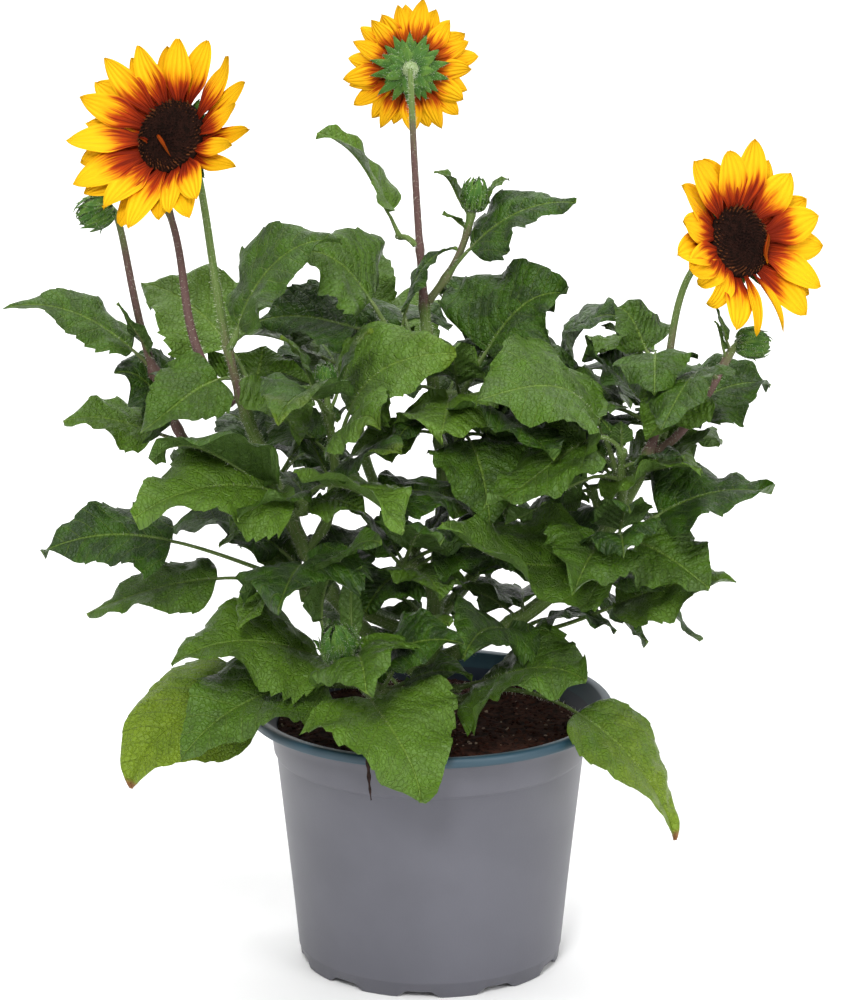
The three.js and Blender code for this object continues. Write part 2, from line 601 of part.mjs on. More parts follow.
function headFrame(middle, facing) {
  const across = perpendicular(facing);
  return new THREE.Matrix4().makeBasis(across, facing.clone().cross(across), facing).setPosition(middle);
}

// A blade that leaves a head at an angle round it, in the head's frame.
function ray(frame, { angle, inner, outer, startZ, endZ, bow, width, thick, outline }) {
  const out = direction([angle, 0]);
  const place = (radius, z) => out.clone().multiplyScalar(radius).setZ(z).applyMatrix4(frame);
  const middle = place((inner + outer) / 2, (startZ + endZ) / 2 + bow);
  const spine = new THREE.QuadraticBezierCurve3(place(inner, startZ), middle, place(outer, endZ));
  const left = direction([angle + 90, 0]).transformDirection(frame);
  const rows = outline.map(([share, spread]) => [share, (width / 2) * spread, thick / 2]);
  return blade(spine, rows, { left, roll: 0, fold: 8 });
}

function lathe(profile, sides, frame) {
  const points = profile.map(([r, z]) => new THREE.Vector2(r, z));
  return solidOf(new THREE.LatheGeometry(points, sides).rotateX(Math.PI / 2).applyMatrix4(frame));
}

function bloomSolid({ at, facing, radius, disc, petals, cup }, random) {
  const frame = headFrame(new THREE.Vector3(...at), direction(facing));
  const head = lathe([[0, -BLOOM_DEPTH], [3.6, -BLOOM_DEPTH], [5.6, -9.5], [disc * 0.85, -5], [disc, -2],
    [disc, 2], [disc * 0.75, 4], [0, 4]], 14, frame);
  const rise = Math.tan(THREE.MathUtils.degToRad(cup));
  const parts = [head];
  for (let i = 0; i < petals; i += 1) {
    const row = i % 2;
    const outer = radius * lerp(0.9, 1, random());
    parts.push(ray(frame, {
      angle: (360 / petals) * (i + lerp(-0.15, 0.15, random())),
      inner: disc - 4,
      outer,
      startZ: 0.9 - 2 * row,
      endZ: (outer - disc) * rise * (row ? 0.55 : 1.1),
      bow: 1.5,
      width: radius * lerp(0.3, 0.34, random()),
      thick: 1,
      outline: PETAL_OUTLINE,
    }));
  }
  const bracts = Math.round(petals / 2);
  for (let i = 0; i < bracts; i += 1) {
    parts.push(ray(frame, {
      angle: (360 / bracts) * (i + lerp(-0.15, 0.15, random())),
      inner: disc * 0.7,
      outer: disc * lerp(1.3, 1.5, random()),
      startZ: -5,
      endZ: lerp(-9, -5, random()),
      bow: 0.5,
      width: disc * 0.4,
      thick: 1.2,
      outline: BRACT_OUTLINE,
    }));
  }
  return fuse(parts);
}

// A bud: a cup whose rim rises in points, closed over its middle.
function budSolid(stem, { radius }) {
  const facing = stem.curve.getTangentAt(1);
  const frame = headFrame(stem.curve.getPointAt(1).addScaledVector(facing, radius * 0.6), facing);
  const rings = [[0.62, -0.6, -0.6], [1, -0.05, 0.05], [0.86, 1.15, 0.55]];
  const points = 12;
  const positions = [new THREE.Vector3(0, 0, -0.8), new THREE.Vector3(0, 0, 0.5)];
  const faces = [];
  for (const [spread, peak, dent] of rings) {
    for (let i = 0; i < points; i += 1) {
      positions.push(direction([(360 / points) * i, 0]).multiplyScalar(spread).setZ(i % 2 ? peak : dent));
    }
  }
  const corner = (ring, i) => 2 + ring * points + (i % points);
  const last = rings.length - 1;
  for (let i = 0; i < points; i += 1) {
    faces.push([0, corner(0, i + 1), corner(0, i)], [1, corner(last, i), corner(last, i + 1)]);
    for (let ring = 0; ring < last; ring += 1) {
      faces.push([corner(ring, i), corner(ring, i + 1), corner(ring + 1, i + 1)]);
      faces.push([corner(ring, i), corner(ring + 1, i + 1), corner(ring + 1, i)]);
    }
  }
  return solidFrom(positions.map((p) => p.multiplyScalar(radius).applyMatrix4(frame)), faces);
}

// Pot and potting mix

function wallRadius(z) {
  return lerp(POT.footRadius, POT.neckRadius, z / (POT.height - POT.lipHeight));
}

function potSolid() {
  const { height, lipRadius, lipWidth, lipHeight, footRadius, wall, recess, padRadius } = POT;
  const collar = height - POT.collarDrop;
  const neck = height - lipHeight;
  const floorTop = recess + POT.floor;
  const ring = footRadius - POT.footRing;
  const bore = lipRadius - lipWidth;
  const body = lathe([
    [0, 0], [padRadius, 0], [padRadius + 1, recess], [ring - 1, recess], [ring, 0], [footRadius, 0],
    [wallRadius(collar), collar], [wallRadius(collar) + POT.collarStep, collar + 2],
    [wallRadius(neck) + POT.collarStep, neck - 4], [lipRadius, neck], [lipRadius, height],
    [bore, height], [bore - 1, neck], [wallRadius(neck) - wall, neck - 5],
    [wallRadius(floorTop) - wall, floorTop],
    [0, floorTop],
  ], POT.sides, new THREE.Matrix4());
  const notch = new THREE.BoxGeometry(3 * POT.footRing, POT.notchWidth, 2 * POT.notchHeight);
  notch.translate(footRadius, 0, 0);
  const notches = [];
  for (let i = 0; i < POT.feet; i += 1) {
    notches.push(solidOf(notch.clone().rotateZ((2 * Math.PI * (i + 0.36)) / POT.feet)));
  }
  return notches.reduce((cut, next) => cut.subtract(next), body);
}

function soilSolid() {
  const bottom = POT.recess + POT.floor + CLEARANCE;
  const inset = POT.wall + CLEARANCE;
  return lathe([[0, bottom], [wallRadius(bottom) - inset, bottom], [wallRadius(SOIL_TOP) - inset, SOIL_TOP],
    [0, SOIL_TOP]], POT.sides, new THREE.Matrix4());
}

// Assembly

function meshOf(name, solid, colour, roughness = 0.6) {
  const { vertProperties, triVerts } = solid.getMesh();
  const geometry = new THREE.BufferGeometry();
  geometry.setAttribute('position', new THREE.BufferAttribute(vertProperties, 3));
  geometry.setIndex(new THREE.BufferAttribute(triVerts, 1));
  geometry.computeVertexNormals();
  const material = new THREE.MeshStandardMaterial({ color: colour, roughness, metalness: 0 });
  const mesh = new THREE.Mesh(geometry, material);
  mesh.name = name;
  return mesh;
}

function buildPlant() {
  const plant = new THREE.Group();
  const stems = new Map();
  const taken = [];
  for (const limb of LIMBS) {
    const stem = growStem(limb, stems);
    stems.set(limb.name, stem);
    taken.push(...stemProbes(stem));
    const steps = Math.ceil(stem.curve.getLength() / 18);
    const solid = tube(stem.curve, stem.thick, { sides: 7, steps, flare: stem.flare });
    plant.add(meshOf(limb.name, solid, limb.bloom ? COLOURS.stalk : COLOURS.stem));
  }
  const sprays = SPRAYS.map((spray) => ({ ...spray, grown: growStem(spray.stem, stems) }));
  for (const { grown, leaves } of sprays) {
    taken.push(...stemProbes(grown));
    for (const leaf of leaves) {
      Object.assign(leaf, { ...LEAF_SHAPE, ...leaf });
      taken.push(...leafProbes(leafSpine(grown, leaf), leaf));
    }
  }
  sprays.forEach(({ name, grown, leaves, bud, rule }, index) => {
    const random = seededRandom(SEED + index);
    const added = [];
    for (let i = 0; rule && i < rule.leaves; i += 1) added.push(ruledLeaf(grown, rule, i, random, taken));
    const steps = Math.max(2, Math.ceil(grown.curve.getLength() / 18));
    const parts = [tube(grown.curve, grown.thick, { sides: 5, steps })];
    for (const leaf of [...leaves, ...added.filter(Boolean)]) parts.push(leafSolid(grown, leaf));
    if (bud) parts.push(budSolid(grown, bud));
    plant.add(meshOf(name, fuse(parts), name.includes('old') ? COLOURS.oldLeaf : COLOURS.leaf));
  });
  BLOOMS.forEach((bloom, index) => {
    plant.add(meshOf(bloom.name, bloomSolid(bloom, seededRandom(SEED + 100 + index)), COLOURS.bloom));
  });
  return plant;
}

const sunflower = new THREE.Group();
sunflower.add(meshOf('pot', potSolid(), COLOURS.pot, 0.42));
sunflower.add(meshOf('potting_mix', soilSolid(), COLOURS.soil, 0.95));
sunflower.add(buildPlant());

export default sunflower;
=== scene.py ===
"""Looks of a potted branching sunflower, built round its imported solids.

The plan's sizes are in millimetres, with +Z up and the pot's underside at the origin. Headings run
from +X towards +Y and rises from level upwards, in degrees. Meshes are in metres.
"""

import logging
import math
from collections.abc import Callable, Iterable
from dataclasses import dataclass, field
from enum import Enum

import bpy
import numpy as np
from mathutils import Matrix, Vector


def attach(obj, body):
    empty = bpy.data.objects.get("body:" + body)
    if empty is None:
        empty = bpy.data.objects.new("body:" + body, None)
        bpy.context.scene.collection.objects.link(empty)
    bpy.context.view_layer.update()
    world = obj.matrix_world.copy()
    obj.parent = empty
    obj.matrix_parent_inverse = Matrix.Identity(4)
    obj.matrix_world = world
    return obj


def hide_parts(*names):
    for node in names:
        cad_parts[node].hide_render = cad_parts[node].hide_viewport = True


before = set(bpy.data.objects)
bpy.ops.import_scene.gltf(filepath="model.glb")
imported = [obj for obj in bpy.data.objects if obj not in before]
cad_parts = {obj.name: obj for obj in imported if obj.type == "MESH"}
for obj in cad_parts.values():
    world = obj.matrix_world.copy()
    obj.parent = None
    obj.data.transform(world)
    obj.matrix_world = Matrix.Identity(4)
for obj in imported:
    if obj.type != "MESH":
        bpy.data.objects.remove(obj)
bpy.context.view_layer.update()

Array = np.ndarray
Triple = tuple[float, float, float]
Pair = tuple[float, float]
Socket = bpy.types.NodeSocket
Object = bpy.types.Object
Rng = np.random.Generator
Profile = Callable[[Array], Array]

MM = 0.001
SEED = 1907
GOLDEN_TURN = 137.5
CLEARANCE = 0.3
ROOT_GIRTH = 1.12
BLOOM_DEPTH = 12.0
SHARP = 58.0
UP = np.array([0.0, 0.0, 1.0])
RIGHT = np.array([1.0, 0.0, 0.0])

log = logging.getLogger("sunflower")


# The plan of the plant


class Region(Enum):
    """The regions of the plant's leaves."""

    LEFT = "left"
    LOW_LEFT = "low_left"
    FRONT = "front"
    TOP = "top"
    RIGHT = "right"
    LOW_RIGHT = "low_right"
    BACK_LEFT = "back_left"
    BACK_RIGHT = "back_right"
    OLD = "old"


@dataclass(frozen=True)
class StemSpec:
    """Where one stem starts and ends, which way, and how thick it is at each end."""

    on: str
    at: float
    to: Triple | None
    thick: Pair
    name: str = ""
    start: Triple | None = None
    bloom: str = ""
    leave: Pair | None = None
    arrive: Pair | None = None
    pull: Pair = (0.4, 0.4)
    flare: float = 0.0


@dataclass(frozen=True)
class LeafSpec:
    """One leaf: where it leaves its stem, where its tip lies and how its blade stands."""

    at: float
    heading: float
    reach: float
    lift: float
    width: float
    rise: float
    dip: float
    bare: float = 0.28
    turn: float = 0.0
    roll: float = 0.0
    fold: float = 12.0
    pull: Pair = (0.4, 0.35)


@dataclass(frozen=True)
class Rule:
    """How a spray adds leaves that the front doesn't show."""

    leaves: int
    start: float
    heading: float
    reach: float
    lift: float
    width: float


@dataclass(frozen=True)
class Spray:
    """One stem with its leaves, and a bud at its tip where it has one."""

    name: str
    region: Region
    stem: StemSpec
    leaves: tuple[LeafSpec, ...] = ()
    rule: Rule | None = None
    bud: float = 0.0
    age: float = 0.0
    blush: float = 0.15


@dataclass(frozen=True)
class BloomSpec:
    """One open head: the middle of its disc, the way it faces, and its sizes."""

    name: str
    at: Triple
    facing: Pair
    radius: float
    disc: float
    cup: float


LIMBS = (
    StemSpec("", 0, (6, 7, 236), (5, 4.1), name="main_stem", start=(0, 0, 126.3), leave=(0, 90),
             arrive=(60, 82), flare=2.6),
    StemSpec("main_stem", 1, (-2, 20, 334), (3.8, 3.1), name="centre_bough", arrive=(150, 84)),
    StemSpec("main_stem", 0.22, (-89, -22, 287), (4.2, 3.6), name="left_bough", leave=(195, 36),
             arrive=(188, 68)),
    StemSpec("main_stem", 0.3, (107, -14, 265), (4.1, 3.6), name="right_bough", leave=(350, 26),
             arrive=(354, 64)),
    StemSpec("main_stem", 0.42, (-124, 20, 268), (3.3, 2.8), name="back_left_bough", leave=(165, 14),
             arrive=(186, 60)),
    StemSpec("main_stem", 0.5, (52, 62, 268), (3.3, 2.8), name="back_right_bough", leave=(52, 26),
             arrive=(60, 74)),
    StemSpec("main_stem", 0.66, (-38, 66, 272), (3.1, 2.7), name="back_bough", leave=(116, 30),
             arrive=(115, 74)),
    StemSpec("centre_bough", 1, None, (2.9, 2), name="top_bloom_stalk", bloom="top_bloom",
             pull=(0.5, 0.14)),
    StemSpec("left_bough", 1, None, (3.2, 2.4), name="left_bloom_stalk", bloom="left_bloom",
             pull=(0.4, 0.16)),
    StemSpec("right_bough", 1, None, (3, 2.2), name="right_bloom_stalk", bloom="right_bloom",
             pull=(0.4, 0.45)),
)

BLOOMS = (
    BloomSpec("left_bloom", at=(-129, -30, 444), facing=(237, 27), radius=53, disc=19, cup=24),
    BloomSpec("right_bloom", at=(156, -15, 387), facing=(309, 21), radius=53, disc=18.5, cup=20),
    BloomSpec("top_bloom", at=(-10, 50, 464), facing=(90, -6), radius=36, disc=13.5, cup=10),
)

FLUSHES = {
    "top_bloom_stalk": (0.0, 0.58, 0.95, 0.85),
    "left_bloom_stalk": (0.0, 0.22, 0.6, 0.55),
    "right_bloom_stalk": (0.0, 0.3, 0.8, 0.8),
}
PLAIN_FLUSH = (0.5, 2.0, 3.0, 0.22)
FLUSH_RISE = 0.15

SPRAYS = (
    Spray("outer_left_spray", Region.LEFT,
          StemSpec("back_left_bough", 1, (-165, 11, 399), (2.4, 1.7), arrive=(188, -25), pull=(0.5, 0.1)),
          bud=9, blush=0.75, leaves=(
        LeafSpec(0.1, 203, 34, 33, 62, 60, -10, bare=0.12, roll=-42),
        LeafSpec(0.04, 191, 63, 15, 38, 20, -12, roll=-32),
        LeafSpec(0.34, 193, 77, 37, 36, 50, -12, bare=0.18, roll=-32),
        LeafSpec(0.33, 223, 23, 41, 15, 80, 60),
    )),
    Spray("hidden_bud_spray", Region.LEFT,
          StemSpec("left_bloom_stalk", 0.08, (-137, 2, 411), (2.5, 1.7), leave=(164, 42), arrive=(160, 62)),
          bud=8, blush=0.9, leaves=(
        LeafSpec(0.93, 200, 12, 14, 8, 60, 20),
        LeafSpec(0.9, 20, 14, 10, 8, 50, 10),
    )),
    Spray("left_fork_spray", Region.LOW_LEFT,
          StemSpec("left_bough", 0.7, (-62, -40, 258), (2.4, 1.8), leave=(290, 30)),
          rule=Rule(4, 0.3, 250, 52, -10, 44), leaves=(
        LeafSpec(0.9, 208, 96, 5, 74, 30, -28, bare=0.16, roll=-18, fold=20),
    )),
    Spray("left_stalk_leaf", Region.LEFT,
          StemSpec("left_bloom_stalk", 0.3, (-98, -24, 341), (1.8, 1.4), leave=(300, 40)), leaves=(
        LeafSpec(0.8, 346, 56, 52, 56, 76, -12, bare=0.08, roll=38),
    )),
    Spray("left_upper_spray", Region.LEFT,
          StemSpec("left_bloom_stalk", 0.14, (-90, -4, 306), (2, 1.5), leave=(70, 50)),
          rule=Rule(5, 0.3, 60, 54, -4, 46), leaves=(
        LeafSpec(0.9, 141, 76, 46, 58, 60, 0, roll=-20),
        LeafSpec(0.7, 75, 21, 17, 54, 10, 80),
    )),
    Spray("centre_bud_spray", Region.FRONT,
          StemSpec("left_bough", 0.58, (-52, -44, 320), (2.4, 1.6), leave=(330, 50), arrive=(260, 84)),
          bud=6.5, age=0.3, rule=Rule(5, 0.15, 250, 50, -6, 42), leaves=(
        LeafSpec(0.8, 191, 25, 44, 24, 55, 20),
        LeafSpec(0.84, 355, 23, 43, 24, 60, 15),
        LeafSpec(0.1, 345, 71, 98, 66, 78, 4, bare=0.48, roll=40, fold=8, pull=(0.5, 0.5)),
    )),
    Spray("low_left_spray", Region.LOW_LEFT,
          StemSpec("left_bough", 0.42, (-58, -24, 206), (2.4, 1.8), leave=(215, 20)),
          rule=Rule(5, 0.25, 140, 66, 0, 48), leaves=(
        LeafSpec(0.7, 187, 140, 25, 50, 22, -25, bare=0.54, roll=-28),
        LeafSpec(0.9, 174, 120, -16, 42, 15, -25, bare=0.42, roll=-28),
    )),
    Spray("left_front_leaves", Region.LOW_LEFT,
          StemSpec("main_stem", 0.13, (-26, -23, 152), (2.8, 2), leave=(222, 16)),
          rule=Rule(4, 0.4, 150, 66, 10, 48), leaves=(
        LeafSpec(0.8, 202, 118, 29, 72, 35, -30, bare=0.35, roll=-28),
        LeafSpec(0.6, 210, 126, -15, 70, 25, -50, bare=0.32, roll=-22),
    )),
    Spray("left_old_leaf", Region.OLD,
          StemSpec("main_stem", 0.07, (-18, 9, 144), (2.4, 1.9), leave=(154, 30)), age=0.8, leaves=(
        LeafSpec(0.8, 199, 147, -38, 72, 12, -78, bare=0.5, roll=-26),
    )),
    Spray("front_low_shoot", Region.FRONT,
          StemSpec("main_stem", 0.06, (-44, -58, 182), (2.8, 2.2), leave=(250, 26), arrive=(240, 66)),
          bud=11.5, leaves=(
        LeafSpec(0.66, 292, 74, -37, 80, 16, -80, bare=0.24, turn=-30),
        LeafSpec(0.92, 335, 66, 20, 44, 20, -12, roll=30),
        LeafSpec(0.96, 310, 30, 69, 40, 40, -5, turn=-130, roll=25, pull=(0.5, 0.4)),
        LeafSpec(0.9, 300, 15, 58, 13, 70, 20),
    )),
    Spray("inner_front_spray", Region.FRONT, StemSpec("main_stem", 0.66, (-14, -20, 218), (2.6, 2)),
          rule=Rule(7, 0.55, 330, 56, 0, 44), leaves=(
        LeafSpec(0.9, 206, 40, 41, 34, 40, 10, roll=-20),
        LeafSpec(0.7, 230, 36, -13, 46, 15, -50, roll=-10),
        LeafSpec(0.8, 292, 43, -4, 46, 15, -50),
    )),
    Spray("right_front_leaf", Region.FRONT, StemSpec("main_stem", 0.17, (15, -16, 151), (2.6, 2)),
          rule=Rule(4, 0.4, 20, 70, 10, 48), leaves=(
        LeafSpec(0.8, 319, 88, 23, 80, 22, -16, bare=0.2, roll=20, fold=4),
    )),
    Spray("right_old_leaf", Region.OLD,
          StemSpec("main_stem", 0.07, (18, -6, 142), (2.2, 1.8), leave=(340, 40)), age=0.9, leaves=(
        LeafSpec(0.8, 331, 125, -56, 60, 32, -76, bare=0.46, roll=10),
    )),
    Spray("right_low_spray", Region.LOW_RIGHT,
          StemSpec("right_bough", 0.28, (48, 10, 170), (2.4, 1.9), leave=(50, -16)),
          rule=Rule(5, 0.6, 60, 64, 0, 46), leaves=(
        LeafSpec(0.8, 345, 113, 38, 50, 14, -4, bare=0.45, roll=30),
    )),
    Spray("right_back_spray", Region.LOW_RIGHT,
          StemSpec("right_bough", 0.5, (76, 20, 204), (2.2, 1.7), leave=(90, 15)),
          rule=Rule(4, 0.3, 60, 58, 4, 46), leaves=(
        LeafSpec(0.9, 14, 70, -43, 30, 0, -45, bare=0.3, roll=20),
        LeafSpec(0.6, 20, 46, -42, 34, -10, -30, bare=0.2, roll=20),
    )),
    Spray("right_mid_spray", Region.RIGHT,
          StemSpec("right_bough", 0.72, (96, -34, 232), (2.4, 1.8), leave=(290, 10)),
          rule=Rule(5, 0.6, 80, 56, 4, 46), leaves=(
        LeafSpec(0.9, 205, 98, 25, 80, -20, 44, bare=0.12, roll=-24, fold=16),
        LeafSpec(0.7, 359, 80, 28, 62, 40, -15, bare=0.32, roll=28),
    )),
    Spray("right_fork_spray", Region.RIGHT,
          StemSpec("right_bough", 0.86, (97, -36, 284), (2.4, 1.5), leave=(270, 40)),
          rule=Rule(4, 0.3, 120, 52, -4, 44), leaves=(
        LeafSpec(0.2, 212, 87, 62, 84, 76, -10, bare=0.36, roll=-34, fold=8, pull=(0.6, 0.5)),
        LeafSpec(0.7, 329, 36, 10, 26, 25, -15),
        LeafSpec(0.95, 265, 12, 20, 12, 70, 40),
        LeafSpec(0.95, 150, 14, 18, 12, 60, 40),
    )),
    Spray("right_upper_spray", Region.RIGHT,
          StemSpec("right_bloom_stalk", 0.1, (118, 4, 284), (2.2, 1.7), leave=(60, 40)),
          rule=Rule(5, 0.3, 60, 54, 2, 46), leaves=(
        LeafSpec(0.9, 15, 60, 21, 62, 40, -12, roll=26),
        LeafSpec(0.8, 159, 41, 38, 60, 55, 20),
    )),
    Spray("right_bud_spray", Region.RIGHT,
          StemSpec("right_bloom_stalk", 0.07, (160, 6, 330), (2.3, 1.6), leave=(0, 34), arrive=(8, -10),
                   pull=(0.4, 0.12)),
          bud=8.5, blush=0.75, leaves=(
        LeafSpec(0.86, 150, 8, 24, 9, 80, 70),
        LeafSpec(0.8, 200, 6, 22, 8, 80, 60),
    )),
    Spray("right_stalk_leaf", Region.RIGHT,
          StemSpec("right_bloom_stalk", 0.38, (112, 3, 324), (1.7, 1.3), leave=(150, 40)), leaves=(
        LeafSpec(0.8, 148, 22, 24, 38, 50, -10, bare=0.15, roll=-20),
    )),
    Spray("right_small_bud_spray", Region.LOW_RIGHT,
          StemSpec("back_right_bough", 0.94, (103, 40, 330), (2, 1.4), leave=(350, 40), arrive=(20, 86)),
          bud=6, blush=0.4, leaves=(
        LeafSpec(0.9, 160, 14, 8, 10, 60, 0),
        LeafSpec(0.6, 60, 46, 14, 34, 50, -10),
    )),
    Spray("centre_top_spray", Region.TOP,
          StemSpec("centre_bough", 0.86, (-19, 8, 329), (2.2, 1.8), leave=(205, 40)), blush=0.45,
          rule=Rule(5, 0.3, 100, 58, 4, 48), leaves=(
        LeafSpec(0.9, 188, 52, 47, 70, 62, -28, bare=0.34, roll=-28),
        LeafSpec(0.7, 354, 29, 51, 22, 70, 5, turn=-80),
        LeafSpec(0.5, 184, 78, 12, 46, 15, -20, bare=0.35, roll=-28),
    )),
    Spray("top_stalk_leaf", Region.TOP,
          StemSpec("top_bloom_stalk", 0.3, (-17, 30, 380), (1.6, 1.3), leave=(190, 45)), leaves=(
        LeafSpec(0.8, 183, 42, 55, 34, 65, 14, bare=0.2, roll=-8, fold=30),
    )),
    Spray("top_right_bud_spray", Region.TOP,
          StemSpec("top_bloom_stalk", 0.08, (22, 33, 396), (2.1, 1.6), leave=(15, 50), arrive=(20, 80)),
          bud=8, blush=0.5, leaves=(
        LeafSpec(0.22, 355, 67, 41, 44, 55, -5, bare=0.25, roll=24),
        LeafSpec(0.88, 193, 19, 25, 20, 50, 10),
        LeafSpec(0.92, 15, 20, 17, 18, 45, 10),
        LeafSpec(0.75, 215, 16, 10, 12, 40, 0),
    )),
    Spray("centre_right_spray", Region.TOP, StemSpec("centre_bough", 0.6, (16, 6, 300), (2.6, 2)),
          rule=Rule(6, 0.3, 20, 56, 2, 46), leaves=(
        LeafSpec(0.9, 3, 55, 55, 78, 60, -10, bare=0.34, roll=36),
    )),
    Spray("centre_hanging_leaves", Region.FRONT, StemSpec("centre_bough", 0.4, (16, -10, 284), (2.4, 1.9)),
          rule=Rule(5, 0.3, 330, 52, -6, 44), leaves=(
        LeafSpec(0.8, 289, 49, -33, 54, 40, -82),
        LeafSpec(0.5, 184, 56, -14, 38, 25, -60, roll=-15),
    )),
    Spray("right_hanging_leaf", Region.RIGHT,
          StemSpec("right_bough", 0.8, (82, -4, 256), (1.9, 1.5), leave=(150, 40)),
          rule=Rule(4, 0.3, 150, 48, -6, 42), leaves=(
        LeafSpec(0.8, 204, 21, -9, 34, 35, -70),
    )),
    Spray("back_right_spray", Region.BACK_RIGHT, StemSpec("back_right_bough", 1, (58, 70, 318), (2.5, 1.8)),
          rule=Rule(8, 0.1, 40, 78, 6, 58), leaves=(
        LeafSpec(0.25, 325, 54, 56, 70, 50, -8, bare=0.3, roll=30),
    )),
    Spray("back_spray", Region.BACK_LEFT, StemSpec("back_bough", 1, (-46, 80, 322), (2.4, 1.8)),
          rule=Rule(8, 0.1, 110, 76, 8, 58)),
    Spray("back_left_spray", Region.BACK_LEFT,
          StemSpec("back_left_bough", 0.6, (-78, 44, 250), (2.3, 1.7), leave=(120, 45)),
          rule=Rule(6, 0.3, 150, 72, 2, 54)),
    Spray("back_right_low_spray", Region.BACK_RIGHT,
          StemSpec("back_right_bough", 0.45, (58, 34, 214), (2.3, 1.7), leave=(15, 35)),
          rule=Rule(6, 0.3, 20, 74, -8, 54)),
    Spray("back_low_leaves", Region.BACK_LEFT,
          StemSpec("main_stem", 0.3, (4, 22, 166), (2.6, 2), leave=(80, 30)),
          rule=Rule(7, 0.4, 95, 100, -12, 60)),
)


# Curves and surfaces


def direction(heading: float, rise: float = 0.0) -> Array:
    """Gives the unit vector of a heading and a rise in degrees."""
    h, e = math.radians(heading), math.radians(rise)
    return np.array([math.cos(h) * math.cos(e), math.sin(h) * math.cos(e), math.sin(e)])


def unit(v: Array) -> Array:
    """Scales vectors to length one."""
    return v / np.maximum(np.linalg.norm(v, axis=-1, keepdims=True), 1e-12)


def lerp(a: float | Array, b: float | Array, share: float | Array) -> float | Array:
    """Blends from a to b."""
    return a + (b - a) * share


def smoothstep(low: float, high: float, x: Array) -> Array:
    """Rises smoothly from 0 at low to 1 at high."""
    t = np.clip((x - low) / (high - low), 0, 1)
    return t * t * (3 - 2 * t)


def seeded_draws(seed: int) -> Callable[[], float]:
    """Makes the same chain of random numbers from 0 to 1 as the solids use.

    Args:
        seed: The chain's whole number.

    Returns:
        A function that gives the next number.
    """
    mask = 0xFFFFFFFF
    state = seed & mask

    def draw() -> float:
        """Gives the next number."""
        nonlocal state
        state = (state + 0x6D2B79F5) & mask
        mixed = ((state ^ (state >> 15)) * (state | 1)) & mask
        mixed ^= (mixed + (((mixed ^ (mixed >> 7)) * (mixed | 61)) & mask)) & mask
        return (mixed ^ (mixed >> 14)) / (mask + 1)

    return draw


class Bend:
    """A cubic curve whose places are given as shares of its length."""

    TIMES = np.linspace(0, 1, 201)

    def __init__(self, start: Array, end: Array, leave: Array, arrive: Array,
                 pull: Pair = (0.4, 0.4)) -> None:
        """Keeps the curve's corners and measures it.

        Args:
            start: The first point.
            end: The last point.
            leave: The unit direction at the start.
            arrive: The unit direction at the end.
            pull: How far each direction carries, as shares of the span.
        """
        span = float(np.linalg.norm(end - start))
        self.corners = np.array([start, start + leave * span * pull[0], end - arrive * span * pull[1], end])
        steps = np.linalg.norm(np.diff(self._at_time(self.TIMES), axis=0), axis=1)
        self.lengths = np.concatenate([[0.0], np.cumsum(steps)])

    @property
    def length(self) -> float:
        """The curve's length."""
        return float(self.lengths[-1])

    def _time(self, share: float | Array) -> Array:
        """Turns shares of the length into the curve's own times."""
        return np.interp(np.asarray(share) * self.length, self.lengths, self.TIMES)

    def _at_time(self, time: Array) -> Array:
        """Gives points at the curve's own times."""
        t = np.asarray(time)[..., None]
        a, b, c, d = self.corners
        return a * (1 - t) ** 3 + b * 3 * t * (1 - t) ** 2 + c * 3 * t**2 * (1 - t) + d * t**3

    def at(self, share: float | Array) -> Array:
        """Gives points at shares of the length."""
        return self._at_time(self._time(share))

    def way(self, share: float | Array) -> Array:
        """Gives unit directions at shares of the length."""
        t = self._time(share)[..., None]
        a, b, c, d = self.corners
        return unit((b - a) * (1 - t) ** 2 + (c - b) * 2 * t * (1 - t) + (d - c) * t**2)


@dataclass
class Surface:
    """Points, faces and named values of a piece of surface, in metres."""

    points: Array
    quads: Array
    triangles: Array = field(default_factory=lambda: np.zeros((0, 3), int))
    values: dict[str, Array] = field(default_factory=dict)
    sheets: Array | None = None
    uv: Array | None = None


def grid_faces(rows: int, columns: int, closed: bool = False) -> Array:
    """Gives the quads of a grid of points, row by row.

    Args:
        rows: Points along.
        columns: Points across.
        closed: Whether the last column joins the first.

    Returns:
        Corner numbers, four a face.
    """
    across = columns if closed else columns - 1
    r, c = np.meshgrid(np.arange(rows - 1), np.arange(across), indexing="ij")
    a = r * columns + c
    b = r * columns + (c + 1) % columns
    return np.stack([a, b, b + columns, a + columns], -1).reshape(-1, 4)


def frames_along(curve: Bend, shares: Array, left: Array, roll: float) -> tuple[Array, Array, Array]:
    """Gives the middle, the left side and the upper side of a blade along its curve.

    Args:
        curve: The midrib.
        shares: Places along it.
        left: The level direction to the blade's left.
        roll: How far the left side is lifted, in degrees.

    Returns:
        Three arrays of vectors.
    """
    way = curve.way(shares)
    side = unit(left - (way @ left)[..., None] * way)
    upper = np.cross(way, side)
    turn = math.radians(roll)
    return (curve.at(shares), side * math.cos(turn) + upper * math.sin(turn),
            upper * math.cos(turn) - side * math.sin(turn))


